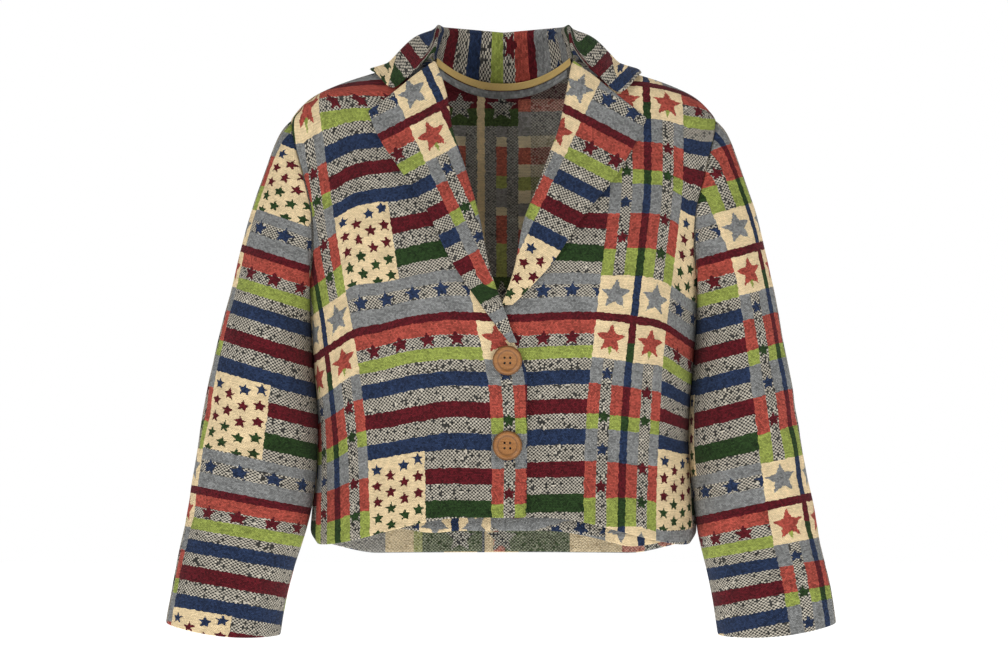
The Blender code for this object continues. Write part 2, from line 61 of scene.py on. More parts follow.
class Curve:  # a smooth curve through values, level past its ends
    def __init__(self, pairs):
        self.knots = [pair[0] for pair in pairs]
        self.values = [pair[1] for pair in pairs]
        last = len(pairs) - 1
        self.slopes = []
        for i in range(len(pairs)):
            low, high = max(i - 1, 0), min(i + 1, last)
            self.slopes.append((self.values[high] - self.values[low]) / (self.knots[high] - self.knots[low]))

    def __call__(self, at):
        knots, last = self.knots, len(self.knots) - 1
        at = min(max(at, knots[0]), knots[last])
        k = min(max(bisect.bisect_right(knots, at) - 1, 0), last - 1)
        width = knots[k + 1] - knots[k]
        f = (at - knots[k]) / width
        g = 1 - f
        return (
            self.values[k] * (1 + 2 * f) * g * g
            + self.values[k + 1] * f * f * (3 - 2 * f)
            + self.slopes[k] * width * f * g * g
            - self.slopes[k + 1] * width * f * f * g
        )


def curvesOf(names, rows, key=0):
    return {name: Curve([(row[key], row[i]) for row in rows]) for i, name in enumerate(names.split())}


# The garment's form, as the solids have it

cut = SimpleNamespace(
    cloth=2.2,
    overlapLift=3.1,
    sideGap=-0.5,  # the edges meet, as sewn edges do
    capGap=-0.4,
    shoulderHalf=227,
    backHem=-507,
    sideHem=-493,
    frontHem=-461,
    underarm=-234,
    shoulderTip=-42,
    neckPoint=27,
    backNeck=-2,
    neckHalf=78,
    gorge=15,
)
bodyRows = [  # height, half width, middle, front, back, front power, back power
    (-510, 207, 0, 117, 105, 2.3, 2.4),
    (-470, 205, 0, 114, 102, 2.3, 2.4),
    (-384, 198, 0, 106, 93, 2.3, 2.4),
    (-300, 203, 0, 114, 99, 2.3, 2.4),
    (-234, 210, 2, 119, 105, 2.2, 2.3),
    (-170, 223, 4, 113, 109, 2.2, 2.3),
    (-105, 232, 6, 95, 105, 2.1, 2.2),
    (-60, 231, 8, 77, 94, 2, 2.1),
    (-42, 227, 8, 69, 88, 2, 2.1),
    (-32, 220, 9, 65, 84, 2, 2.1),
    (-17, 204, 10, 60, 79, 2, 2.1),
    (-5, 180, 10, 55, 73, 2, 2.1),
    (6, 149, 12, 48, 65, 2, 2.1),
    (27, 78, 14, 36, 50, 2, 2.1),
    (40, 46, 15, 24, 34, 2, 2),
]
body = curvesOf("height halfWidth middle front back frontPower backPower", bodyRows)
halfWidth, middleOf = body["halfWidth"], body["middle"]
armhole = curvesOf(
    "height front back",
    [
        (-234, 210, 210), (-222, 208, 210), (-200, 204, 211), (-170, 202, 213), (-137, 204, 216),
        (-105, 212, 220), (-80, 219, 224), (-60, 224, 226), (-42, 227, 227),
    ],
)
roll = curvesOf(
    "height right left",
    [
        (-510, -24, -17), (-330, -25, -17), (-308, -24, -17), (-288, -16, -16), (-270, -7, -12), (-250, 0, -3),
        (-203, 17, 14), (-154, 27, 24), (-120, 36, 37), (-85, 47, 50), (-58, 56, 60), (-21, 62, 68),
        (16, 74, 75), (27, 78, 78),
    ],
)
# The camera's frame: its middle and what one step of it measures at the middle plane and on the fronts
shot = SimpleNamespace(distance=5000, x=504, y=336, aimX=0.5, aimZ=-272, step=1.064, frontStep=1.043)
lapelBreak = {right: -279, left: -240}
lapelEdge = {
    right: [(-279, -6), (-238, 25), (-192, 56), (-136, 83), (-96, 110), (-66, 130), (-36, 143)],
    left: [(-240, 9), (-228, 22), (-195, 52), (-152, 80), (-110, 114), (-69, 139), (-43, 151)],
}
lapelForm = SimpleNamespace(notch=0.58, roll=6, lie=3, wrap=0.3, gorgeStep=0.014)
sleeveRows = [  # outer x and z, inner x and z, middle, half depth
    (228, -44, 211, -236, 2, 50),
    (238, -55, 212.5, -242, 0, 51),
    (248, -77, 211, -256, 0, 54),
    (262, -120, 208, -278, -1, 57),
    (275, -165, 206, -298, -3, 58),
    (288, -217, 204, -322, -6, 58),
    (301, -273, 202, -348, -10, 57),
    (312, -322, 200.6, -376, -14, 56),
    (323, -382, 202, -414, -17, 55),
    (331, -436, 206, -450, -19, 54),
    (340, -484, 214, -490, -20, 53),
    (350, -532, 228, -543, -21, 52),
    (357, -576, 236, -589, -21, 51),
]
sleeveForm = SimpleNamespace(
    swing={right: 0, left: -4.5},
    slim={right: -1, left: 5.5},
    elbow=-350,
    elbowReach=130,
    headLength=120,
    cuffDip=5,
    hug=-2.2,  # the sleeves rest against the body
)
collarRows = [  # share, fold, middle, edge
    (0, (0, 77, 56), (0, 93, 25), (0, 92, -13)),
    (0.25, (37, 71, 59), (50, 86, 27), (58, 87, -12)),
    (0.5, (63, 49, 60), (84, 60, 35), (104, 66, -6)),
    (0.72, (71, 14, 59), (100, 20, 44), (134, 36, 4)),
    (0.87, (74, -12, 38), (107, -10, 20), (141, 13, 7)),
]
collarForm = SimpleNamespace(shoulder=0.72, corner={right: (140, -5, 9), left: (146, -6, 4)}, clear=5.2)

# Folds: across, height, lean in degrees, half length, half width, rise
bigFrontFolds = {
    right: [
        (168, -205, 8, 90, 15, -5), (120, -420, -12, 80, 26, -3), (62, -430, 6, 70, 24, 2.5),
        (150, -300, 62, 60, 16, -3),
    ],
    left: [
        (166, -215, 10, 95, 14, -5), (132, -410, -10, 85, 24, -3), (78, -440, 8, 70, 26, 2.5),
        (150, -310, 58, 64, 15, -3),
    ],
}
bigBackFolds = [
    (-165, -190, -10, 95, 16, -5), (168, -200, 12, 100, 15, -5), (-60, -400, 8, 110, 26, -4),
    (70, -415, -10, 100, 24, -4), (8, -300, 86, 90, 14, -2.5), (-120, -330, 64, 60, 15, -3),
]
bigSleeveFolds = {
    right: [
        (150, -300, 60, 55, 12, -4), (120, -372, 72, 60, 11, -3.5), (210, -395, -65, 60, 12, -4),
        (60, -440, 55, 55, 12, -2.5), (250, -330, -60, 55, 13, -3),
    ],
    left: [
        (145, -310, 58, 55, 12, -4), (125, -385, 70, 60, 11, -3.5), (215, -410, -62, 60, 12, -4),
        (70, -455, 60, 55, 12, -2.5), (245, -340, -58, 55, 13, -3),
    ],
}


def foldRise(folds, across, height):
    rise = 0
    for foldX, foldZ, leanDegrees, halfLength, halfBreadth, lift in folds:
        dx, dz = across - foldX, height - foldZ
        lean = math.radians(leanDegrees)
        along = (dz * math.cos(lean) + dx * math.sin(lean)) / halfLength
        aside = (dx * math.cos(lean) - dz * math.sin(lean)) / halfBreadth
        if along * along + aside * aside < 12:
            rise += lift * math.exp(-along * along - aside * aside)
    return rise


def bodyTurn(x, height):
    return math.asin(min(max(x / halfWidth(height), -1), 1)) * 2 / math.pi


def turned(x, height):  # how far round a place is, 1 at the side seam
    return abs(bodyTurn(x, height))


def bodyDepth(x, height, face):
    power = body[face + "Power"](height)
    share = min(abs(x) / halfWidth(height), 1)
    return body[face](height) * (1 - share**power) ** (1 / power)


def frontY(side, x, height):
    bust = math.exp(-(((x - 88) / 58) ** 2) - ((height + 190) / 80) ** 2)
    y = middleOf(height) - bodyDepth(x, height, "front") - 9 * bust
    if side == right:
        y -= cut.overlapLift * ease((110 - x) / 70) * ease((-120 - height) / 90)
    seam = 1 - ease((turned(x, height) - 0.8) / 0.2)
    return y - foldRise(bigFrontFolds[side], x, height) * seam * ease((40 - height) / 200)


def backY(x, height):
    seam = 1 - ease((turned(x, height) - 0.8) / 0.2)
    rise = foldRise(bigBackFolds, x, height) * seam * ease((-20 - height) / 120)
    return middleOf(height) + bodyDepth(x, height, "back") + rise


def frontHem(x):
    return blend(cut.frontHem, cut.sideHem, ease((abs(x) - 40) / 170))


def backHem(x):
    return blend(cut.backHem, cut.sideHem, ease((abs(x) - 135) / 75))


def filled(bottom, top, near, far, across, up):
    a, b, c, d = bottom(across), top(across), near(up), far(up)
    corners = (bottom(0), bottom(1), top(0), top(1))
    return tuple(
        blend(a[i], b[i], up)
        + blend(c[i], d[i], across)
        - blend(blend(corners[0][i], corners[1][i], across), blend(corners[2][i], corners[3][i], across), up)
        for i in (0, 1)
    )


def sideAndArmhole(face, up):
    lowShare = 0.52
    if up <= lowShare:
        height = blend(cut.sideHem, cut.underarm, up / lowShare)
        return halfWidth(height), height
    climb = (up - lowShare) / (1 - lowShare)
    height = blend(cut.underarm, cut.shoulderTip, blend(climb, (1 - math.cos(climb * math.pi)) / 2, 0.7))
    return armhole[face](height), height


shoulderLine = Curve(sorted((row[1], row[0]) for row in bodyRows if row[0] >= cut.shoulderTip))


def shoulderSeam(share):
    x = blend(cut.neckHalf, cut.shoulderHalf, share)
    return x, shoulderLine(x)


def seamHalfGap(height):
    return cut.sideGap / 2 * (1 + ease((height + 80) / 60))


def frontFlat(side):  # where a front's grid lies, as x towards its own side and height
    rollLine = roll[sideNames[side]]

    def innerEdge(up):
        height = blend(frontHem(0), cut.neckPoint, up)
        return rollLine(height), height

    def hem(across):
        first = bodyTurn(innerEdge(0)[0], cut.sideHem)
        x = halfWidth(cut.sideHem) * math.sin(blend(first, 1, across) * math.pi / 2)
        return x, frontHem(x)

    def flat(across, up):
        x, height = filled(hem, shoulderSeam, innerEdge, lambda s: sideAndArmhole("front", s), across, up)
        return min(x, halfWidth(height)), height

    return flat


def backNeck(share):
    x = cut.neckHalf * math.sin(share * math.pi / 2)
    return x, blend(cut.backNeck, cut.neckPoint, (x / cut.neckHalf) ** 2.2)


def backFlat(across, up):
    side = 1 if across >= 0.5 else -1
    outward = abs(across - 0.5) * 2

    def hem(share):
        x = halfWidth(cut.sideHem) * math.sin(share * math.pi / 2)
        return x, backHem(x)

    def top(share):
        return backNeck(share / 0.36) if share <= 0.36 else shoulderSeam((share - 0.36) / 0.64)

    def centre(share):
        return 0, blend(cut.backHem, cut.backNeck, share)

    x, height = filled(hem, top, centre, lambda s: sideAndArmhole("back", s), outward, up)
    return side * min(x, halfWidth(height)), height


def armholePlace(side, angle):
    height = blend(cut.underarm, cut.shoulderTip, (1 + math.cos(angle)) / 2)
    face = "front" if math.sin(angle) >= 0 else "back"
    x = armhole[face](height)
    y = frontY(side, x, height) if face == "front" else backY(x, height)
    return Vector((side * x, y, height))


sleeveKnots = [0]
for rowA, rowB in zip(sleeveRows, sleeveRows[1:]):
    sleeveKnots.append(sleeveKnots[-1] + math.hypot(rowB[0] - rowA[0], rowB[1] - rowA[1]))
sleeveCurves = [Curve([(k, row[i]) for k, row in zip(sleeveKnots, sleeveRows)]) for i in range(6)]


def sleeveRing(row, angle):
    outer, inner = Vector((row[0], row[4], row[1])), Vector((row[2], row[4], row[3]))
    half = (outer - inner) / 2
    forward = Vector((0, row[5] * math.sin(angle), 0))
    return (outer + inner) / 2 + half * math.cos(angle) - forward, half.normalized()


def sleevePlace(side):
    def place(around, down):
        angle = around * math.tau
        at = down * sleeveKnots[-1]
        row = [curve(at) for curve in sleeveCurves]
        slim = sleeveForm.slim[side] * math.exp(-(((row[1] - sleeveForm.elbow) / sleeveForm.elbowReach) ** 2))
        row[0] -= slim * ease(at / sleeveForm.headLength)
        point, widthWay = sleeveRing(row, angle)
        innerShare = (1 - math.cos(angle)) / 2
        point.x += sleeveForm.swing[side] * (
            ease((-250 - row[1]) / 320) + innerShare * ease((-430 - row[1]) / 130)
        )
        point.z -= sleeveForm.cuffDip * math.sin(angle) ** 2 * down**3
        outward = (widthWay * math.cos(angle) - Vector((0, math.sin(angle), 0))).normalized()
        offBody = ease((1 - math.cos(angle + math.pi)) * 1.6)
        spare = row[2] - halfWidth(row[3]) - sleeveForm.hug
        spare += sleeveForm.swing[side] * ease((-250 - row[1]) / 320)
        point.x -= max(spare, 0) * innerShare**2 * ease((at - 4) / 22) * ease((row[3] + 512) / 84)
        folds = foldRise(bigSleeveFolds[side], math.degrees(angle), point.z) * ease((at - 110) / 60) * offBody
        small = sleeveRelief(side, angle, point.z, at)
        point += outward * (min(folds, 0.6) + small)
        point.x *= side
        if at < sleeveForm.headLength:
            gap = cut.capGap * (1 + ease(math.cos(angle) * 1.6 - 0.6))
            start = armholePlace(side, angle) + Vector((side * gap, 0, 0))
            first = sleeveRing(sleeveRows[0], angle)[0]
            first.x *= side
            point += (start - first) * (1 - ease(at / sleeveForm.headLength))
        return point

    return place


def frontNormal(side, x, height):
    step = 2
    slopeX = (frontY(side, x + step, height) - frontY(side, x - step, height)) / (2 * step)
    slopeZ = (frontY(side, x, height + step) - frontY(side, x, height - step)) / (2 * step)
    return Vector((slopeX, -1, slopeZ)).normalized()


lapelX = {side: Curve(rows) for side, rows in lapelEdge.items()}


def lapelEnds(side, up):
    rollZ = blend(lapelBreak[side], cut.gorge, up)
    edgeZ = blend(lapelEdge[side][0][0], lapelEdge[side][-1][0], up)
    return Vector((roll[sideNames[side]](rollZ), rollZ)), Vector((lapelX[side](edgeZ), edgeZ))


def lapelPlace(side):
    steps = [0, 0.35, 0.7, 1]
    wrap = lapelForm.wrap

    def place(across, up):
        start, edge = lapelEnds(side, up)
        width = (edge - start).length
        full = ease((width - 6) / 30)
        proud = blend(lapelForm.lie, lapelForm.roll, full)
        turnEnd = min(5, 0.25 * width)
        if across < wrap:
            offs = [blend(a, b, full) for a, b in zip([-3, -2.2, -1, turnEnd], [-3, -3.4, -1.4, turnEnd])]
            highs = [blend(lapelForm.lie, b, full) for b in [-2, 1.2, proud - 0.9, proud]]
            off = Curve(list(zip(steps, offs)))(across / wrap)
            high = Curve(list(zip(steps, highs)))(across / wrap)
        else:
            share = (across - wrap) / (1 - wrap)
            off = blend(turnEnd, width, share)
            high = blend(proud, lapelForm.lie, ease(share))
        flat = start + (edge - start).normalized() * off
        high += 0.6 + frontRelief(side, flat.x, flat.y)
        point = Vector((flat.x, frontY(side, *flat), flat.y)) + frontNormal(side, *flat) * high
        point.x *= side
        return point

    return place


def clearOfBody(point, need):
    if point.z > cut.neckPoint:
        return point

    def outside(p):
        middle = middleOf(p.z)
        face = "front" if p.y < middle else "back"
        power = body[face + "Power"](p.z)
        across, deep = abs(p.x) / halfWidth(p.z), abs(p.y - middle) / body[face](p.z)
        return (across**power + deep**power) ** (1 / power) - 1

    halfSteps = [Vector(axis) * 0.5 for axis in ((1, 0, 0), (0, 1, 0), (0, 0, 1))]
    slope = Vector([outside(point + step) - outside(point - step) for step in halfSteps])
    missing = need - outside(point) / slope.length
    return point + slope.normalized() * missing if missing > 0 else point


def neckSeam(share):
    if share <= collarForm.shoulder:
        x, height = backNeck(share / collarForm.shoulder)
        seam = Vector((x, backY(x, height), height))
    else:
        climb = (share - collarForm.shoulder) / (1 - collarForm.shoulder)
        height = blend(cut.neckPoint, cut.gorge, climb**1.6)
        x = roll["left"](height)
        seam = Vector((x, frontY(left, x, height), height))
    inward = -Vector((seam.x, seam.y - middleOf(height), 0)).normalized()
    return seam + inward * 1 + Vector((0, 0, 1.3))


collarStops = [0, 0.18, 0.32, 0.4, 0.48, 0.72, 1]


def collarSection(row):
    neck, fold, middle, edge = neckSeam(row[0]), Vector(row[1]), Vector(row[2]), Vector(row[3])
    inward = Vector((neck.x - middle.x, neck.y - middle.y, 0)).normalized() * 3
    drop = min(5, (fold - neck).length * 0.3)
    return [
        neck,
        blend(neck, fold, 0.5) + inward * 0.4,
        fold + inward - Vector((0, 0, drop)),
        fold,
        fold - inward * 1.3 - Vector((0, 0, drop * 0.8)),
        middle,
        edge,
    ]


def gorgeSection(side):
    place = lapelPlace(side)
    notch = blend(lapelForm.wrap, 1, lapelForm.notch)
    points = []
    for share in [0.06, 0.14, 0.22, 0.3, blend(lapelForm.wrap, notch, 0.3), notch]:
        point = place(share, 1 + lapelForm.gorgeStep)
        point.x *= side
        points.append(point)
    return points + [Vector(collarForm.corner[side])]


def collarSurface():
    shares = [row[0] for row in collarRows] + [1]
    grids = {side: [collarSection(row) for row in collarRows] + [gorgeSection(side)] for side in (right, left)}

    def place(along, across):
        side = left if along >= 0.5 else right
        share = abs(along - 0.5) * 2
        lines = []
        for axis in range(3):
            crossings = [list(zip(collarStops, [p[axis] for p in section])) for section in grids[side]]
            lines.append(Curve([(stop, Curve(pairs)(across)) for stop, pairs in zip(shares, crossings)])(share))
        point = Vector(lines)
        if across > 0.45:
            point = clearOfBody(point, collarForm.clear)
        point.x *= side
        return point

    return place


def insideBackPlace(low, high, reach, off):
    def place(across, up):
        x = cut.neckHalf * math.sin((across - 0.5) * 2 * reach * math.pi / 2)
        seam = blend(cut.backNeck, cut.neckPoint, (abs(x) / cut.neckHalf) ** 2.2)
        height = seam + blend(low, high, up)
        base = middleOf(seam) + bodyDepth(x, seam, "back") - cut.cloth
        inward = Vector((x, base - middleOf(seam), 0)).normalized()
        lean = blend(0, 1.4, ease((height - seam + 4) / 8))
        return Vector((x, base, height)) - inward * (off + lean)

    return place


def hemTurnPlace(across, up):
    x = blend(-128, 186, across)
    ends = ease(min(across, 1 - across) * 5)
    low = frontHem(x) - 17.5 * ends + 3.5
    height = blend(low, frontHem(x) + 16, up)
    y = middleOf(height) - bodyDepth(x, height, "front")
    return Vector((x, y + 5 + 3 * ends * (1 - up), height))


def hemTurnGrain(across, up, middle, point):
    frameX, frameY = photoPlace(point)
    bend = 13 * math.exp(-(((frameX - 517) / 30) ** 2)) - 3 * math.exp(-(((frameX - 573) / 16) ** 2))
    return 163 + (frameX - 454) * 1.09, 233 + bend + (525.5 - frameY) * 1.05 + (frameX - 504) * 0.03


# Small creases, each given in the same order as the folds

frontCreases = {
    right: [
        (182, -240, 14, 46, 7, -2.2), (190, -200, 4, 40, 6, -1.8), (172, -262, 26, 34, 7, -1.6),
        (196, -160, -6, 34, 6, -1.6), (150, -345, 70, 34, 9, -1.4), (168, -380, 60, 30, 8, -1.2),
        (96, -386, -8, 60, 12, -1.3), (44, -420, 4, 46, 13, -1.2), (130, -455, -14, 32, 10, 1.3),
        (30, -330, 64, 26, 8, -1), (60, -296, 74, 34, 9, -1.1), (112, -90, 60, 40, 11, -1.4),
        (140, -60, 50, 34, 10, -1.2), (176, -110, 20, 40, 9, 1.2), (110, -290, 78, 40, 12, 1.2),
        (186, -450, 4, 40, 8, -1.6),
    ],
    left: [
        (180, -235, 16, 48, 7, -2.2), (188, -196, 6, 42, 6, -1.8), (170, -258, 28, 36, 7, -1.6),
        (194, -156, -4, 34, 6, -1.5), (146, -352, 68, 36, 9, -1.4), (172, -386, 62, 30, 8, -1.3),
        (102, -392, -6, 62, 12, -1.3), (52, -412, 6, 50, 13, -1.2), (136, -448, -12, 34, 10, 1.3),
        (36, -338, 66, 26, 8, -1), (66, -300, 72, 34, 9, -1), (116, -96, 58, 40, 11, -1.3),
        (144, -64, 48, 34, 10, -1.2), (178, -118, 22, 40, 9, 1.2), (114, -282, 80, 40, 12, 1.1),
        (188, -446, 2, 40, 8, -1.6), (31, -370, 2, 120, 5, -2.4),
    ],
}
backCreases = [
    (-190, -215, -12, 50, 7, -2), (190, -220, 14, 48, 7, -2), (-176, -255, -26, 36, 8, -1.6),
    (178, -250, 24, 38, 8, -1.6), (-110, -370, 66, 44, 10, -1.4), (104, -380, -60, 46, 10, -1.4),
    (-20, -420, 6, 60, 14, -1.5), (30, -440, -8, 48, 13, 1.4), (-150, -440, 8, 46, 10, -1.5),
    (146, -450, -6, 42, 10, -1.5), (0, -60, 88, 60, 12, -1.2), (-80, -90, 70, 44, 12, -1),
    (84, -96, -70, 46, 12, -1), (-40, -330, 78, 50, 10, -1.2), (60, -310, -80, 48, 11, -1.1),
]
sleeveCreases = {  # across is the angle round the sleeve in degrees, from the outer edge through the front
    right: [
        (128, -262, 62, 44, 9, -1.6), (100, -330, 66, 46, 9, -1.4), (84, -392, 68, 46, 9, -1.6),
        (110, -424, 62, 42, 8, -1.5), (96, -476, 70, 44, 9, -1.4), (70, -520, 66, 40, 9, -1.2),
        (118, -546, 74, 40, 8, -1.2), (52, -300, -50, 40, 10, -1), (40, -360, -56, 40, 10, -1),
        (240, -300, -62, 46, 10, -1.5), (270, -380, 60, 46, 10, -1.5), (230, -460, -66, 44, 10, -1.4),
        (290, -500, 58, 42, 10, -1.2), (320, -420, 50, 40, 10, -1.2), (60, -160, 30, 50, 12, -1.2),
        (300, -170, -30, 50, 12, -1.2),
    ],
    left: [
        (124, -270, 60, 44, 9, -1.6), (104, -338, 64, 46, 9, -1.4), (88, -400, 66, 46, 9, -1.6),
        (112, -436, 64, 42, 8, -1.5), (92, -486, 70, 44, 9, -1.4), (74, -528, 64, 40, 9, -1.2),
        (116, -552, 72, 40, 8, -1.2), (50, -306, -52, 40, 10, -1), (38, -368, -54, 40, 10, -1),
        (244, -306, -60, 46, 10, -1.5), (268, -388, 62, 46, 10, -1.5), (232, -468, -64, 44, 10, -1.4),
        (292, -506, 56, 42, 10, -1.2), (318, -428, 52, 40, 10, -1.2), (64, -166, 32, 50, 12, -1.2),
        (296, -176, -28, 50, 12, -1.2),
    ],
}


def soft(x, y, z, size, lift):
    return noise.noise(Vector((x, y, z)) / size) * lift


def offSeam(x, height):  # how free of the side seam a place is: for its folds, and for the cloth itself
    turn = turned(x, height)
    return 1 - ease((turn - 0.72) / 0.22), 1 - ease((turn - 0.86) / 0.12)


def frontRelief(side, x, height):
    rise = foldRise(frontCreases[side], x, height) * 1.3
    rise += soft(x * side, 3.1, height * 0.6, 44, 1.8) + soft(x * side, 9.7, height, 19, 0.4)
    underLapel = ease((lapelX[side](height) + 26 - x) / 22) * ease((height - lapelBreak[side] + 20) / 24)
    folds, cloth = offSeam(x, height)
    rise *= (1 - 0.6 * underLapel) * blend(0.45, 1, folds) * ease((-20 - height) / 50)
    return min(rise, blend(0.1, 3, folds)) * cloth


def hemCorner(x, height):  # the side seams end in a soft corner
    return 9 * ease((cut.sideHem + 17 - height) / 17) ** 2 * ease((turned(x, height) - 0.62) / 0.38)


def backRelief(x, height):
    rise = foldRise(backCreases, x, height)
    rise += soft(x, 21.3, height * 0.6, 50, 1.8) + soft(x, 27.7, height, 20, 0.4)
    folds, cloth = offSeam(x, height)
    return min(rise * ease((-26 - height) / 50), blend(0.1, 3, folds)) * blend(0.4, 1, folds) * cloth


def sleeveRelief(side, angle, height, at):
    degrees = math.degrees(angle)
    rise = foldRise(sleeveCreases[side], degrees, height) * 1.5
    rise += soft(math.cos(angle) * 50 + side * 300, math.sin(angle) * 50, height * 0.6, 36, 2.2)
    rise += soft(math.cos(angle) * 50 + side * 300, math.sin(angle) * 50 + 70, height, 17, 0.4)
    inner = ease((-math.cos(angle) - 0.25) / 0.5)
    return min(rise, blend(2, 0, inner)) * ease(at / 50) * blend(1, 0.5, inner)


def frontPlace(side):
    flat = frontFlat(side)

    def place(across, up):
        x, height = flat(across, up)
        y = frontY(side, x, height) - seamHalfGap(height)
        point = Vector((x - hemCorner(x, height), y, height))
        point += frontNormal(side, x, height) * frontRelief(side, x, height)
        point.x *= side
        return point

    return place


def backPlace(across, up):
    x, height = backFlat(across, up)
    inward = math.copysign(hemCorner(x, height), x)
    return Vector((x - inward, backY(x, height) + seamHalfGap(height) + backRelief(x, height), height))


# The cloth's grain, which is where each place lies on the woven pattern. Its unit is one step of
# the chart. Across it runs flag, then sash, and down it runs from the top of the dark red line.

chart = SimpleNamespace(step=shot.frontStep, flag=124, sash=79, period=253)
chart.width = chart.flag + chart.sash
pathHalf = Curve([(-510, 207), (-384, 198), (-300, 203), (-234, 210), (-170, 223), (-105, 232), (60, 232.1)])
lineHeight = -250  # height of the dark red line at the centre front
levelStep, levelParts = 12, 40
riseStep, riseParts = 5, 20


def runningLengths(points):
    lengths = [0]
    for a, b in zip(points, points[1:]):
        lengths.append(lengths[-1] + (b - a).length)
    return lengths


def lookUp(table, at):
    xs, ys = table
    k = min(max(bisect.bisect_right(xs, at) - 1, 0), len(xs) - 2)
    return ys[k] + (ys[k + 1] - ys[k]) * (at - xs[k]) / (xs[k + 1] - xs[k])


@functools.cache
def levelTable(face, level):
    height = level * levelStep
    turns = [k / levelParts * math.pi / 2 for k in range(levelParts + 1)]
    xs = [halfWidth(height) * math.sin(turn) for turn in turns]
    return xs, runningLengths([Vector((x, bodyDepth(x, height, face))) for x in xs])


def levelLength(face, x, height):  # along the cloth from the centre, at one height
    low = math.floor(height / levelStep)
    a, b = (lookUp(levelTable(face, level), abs(x)) for level in (low, low + 1))
    return math.copysign(blend(a, b, height / levelStep - low), x)


@functools.cache
def riseTable(face, part):
    heights = [k * riseStep for k in range(-104, 12)]
    points = []
    for height in heights:
        x = min(part / riseParts * pathHalf(height), halfWidth(height))
        away = math.copysign(bodyDepth(x, height, face), -1 if face == "front" else 1)
        points.append(Vector((x, middleOf(height) + away, height)))
    lengths = runningLengths(points)
    datum = lookUp((heights, lengths), lineHeight)
    return heights, [length - datum for length in lengths]


def riseLength(face, x, height):  # up the cloth from the dark red line
    share = min(abs(x) / pathHalf(height), 1) * riseParts
    low = min(int(share), riseParts - 1)
    a, b = (lookUp(riseTable(face, part), height) for part in (low, low + 1))
    return blend(a, b, share - low)


def photoPlace(point):  # where the camera sees a place, in steps across and down its frame
    near = shot.distance / (shot.distance + point.y)
    across, up = (point.x - shot.aimX) / shot.step, (point.z - shot.aimZ) / shot.step
    return shot.x + across * near, shot.y - up * near


# Vertical lines of the pattern on each front: frame height, then where two of its lines cross it
frontLines = {right: (0, 124), left: (124, 163)}
frontLineRows = {
    right: [
        (100, 316, 440), (215, 333, 457), (290, 345, 469), (320, 351, 475), (357, 357, 483), (385, 361, 488),
        (445, 367, 491), (520, 370, 491),
    ],
    left: [
        (86, 609, 648), (184, 610, 648), (236, 605, 643), (293, 598, 636.5), (361, 591, 629),
        (406, 586.5, 625.5), (475, 583.5, 622), (515, 583, 621),
    ],
}
# How far the crosswise lines sink towards each side seam
frown = {
    right: Curve(
        [(0, 1), (24, 0.5), (48, -0.5), (73, 0.5), (98, 2.5), (123, 9), (151, 17.5)]
        + [(171, 32.5), (186, 44), (205, 56)]
    ),
    left: Curve([(0, 3), (22, 2.5), (57, 0.5), (91, 0.5), (132, 4.5), (157, 10.7), (178, 21), (205, 36)]),
}
frownShare = {
    right: Curve([(90, 0.2), (150, 0.8), (200, 0.9), (315, 1), (450, 0.8), (520, 0.6)]),
    left: Curve([(90, 0.3), (180, 0.4), (250, 0.55), (315, 1), (400, 0.9), (450, 0.55), (520, 0.4)]),
}
# How far the pattern lies below its even spacing: frame heights, then columns by distance from the centre
lagHeights = (150, 200, 250, 300, 350, 385, 415, 447, 476, 506)
lagColumns = {
    right: [
        (59, (0, 0, 0, 1, 0, 0, 2.5, 5, 8, 8)),
        (104, (0, 3, 6, 4.5, 2.5, 3, 7, 8.5, 9, 9)),
        (126, (-1.5, -1, 2, 3.5, 3, 2.5, 5, 7.5, 9, 9)),
        (164, (-6.5, -3.5, -6, -3, 0, 0, 3, 6, 8, 8)),
        (182, (-10, -8, -6, -6, -3, 0, 2, 5, 6, 6)),
    ],
    left: [
        (71, (0, 2, 4, 1, -2, -2, -1.5, 0, 1, 2)),
        (101, (-2, 2.5, 5, 1, -2, -1.5, -1, 0, 1, 3)),
        (131, (0, 1, 1, 0, 0, 0, 0, 1, 3, 1)),
        (161, (0, 0, 0, 0, -4, -2, -1, 0, 2, 5)),
        (186, (3, 8, 8, 4, 0, 0, 0, 0, 0, 0)),
    ],
}
lagCurves = {
    side: [(distance, Curve(list(zip(lagHeights, values)))) for distance, values in columns]
    for side, columns in lagColumns.items()
}
backLag = Curve([(-190, 2), (-146, 5), (-114, 7.5), (-30, 8.5)])


def frontGrain(side):
    at, step = frontLines[side], chart.step
    lines = curvesOf("frame first second", frontLineRows[side])

    def grain(across, up, middle, point):
        x, height = point.x * side, point.z
        frameY = shot.y - (height - shot.aimZ) / step
        xs = [(lines[name](frameY) - shot.x) * step for name in ("first", "second")]
        places = [levelLength("front", lineX, height) for lineX in xs]
        here = levelLength("front", point.x, height)
        across = blend(at[0], at[1], (here - places[0]) / (places[1] - places[0]))
        sink = frown[side](abs(x) / step) * frownShare[side](frameY)
        lag = Curve([(distance, curve(frameY)) for distance, curve in lagCurves[side]])(abs(x) / step)
        return across, 4 - riseLength("front", x, height) / step - sink - lag

    return grain


def backGrain(across, up, middle, point):
    x, height = point.x, point.z
    step = chart.step
    across = 163 - (levelLength("back", x, height) + 23.5) / step
    sink = (frown[right](abs(x) / step) + frown[left](abs(x) / step)) / 2 * 0.6
    return across, 4 - riseLength("back", x, height) / step - sink - backLag(height)


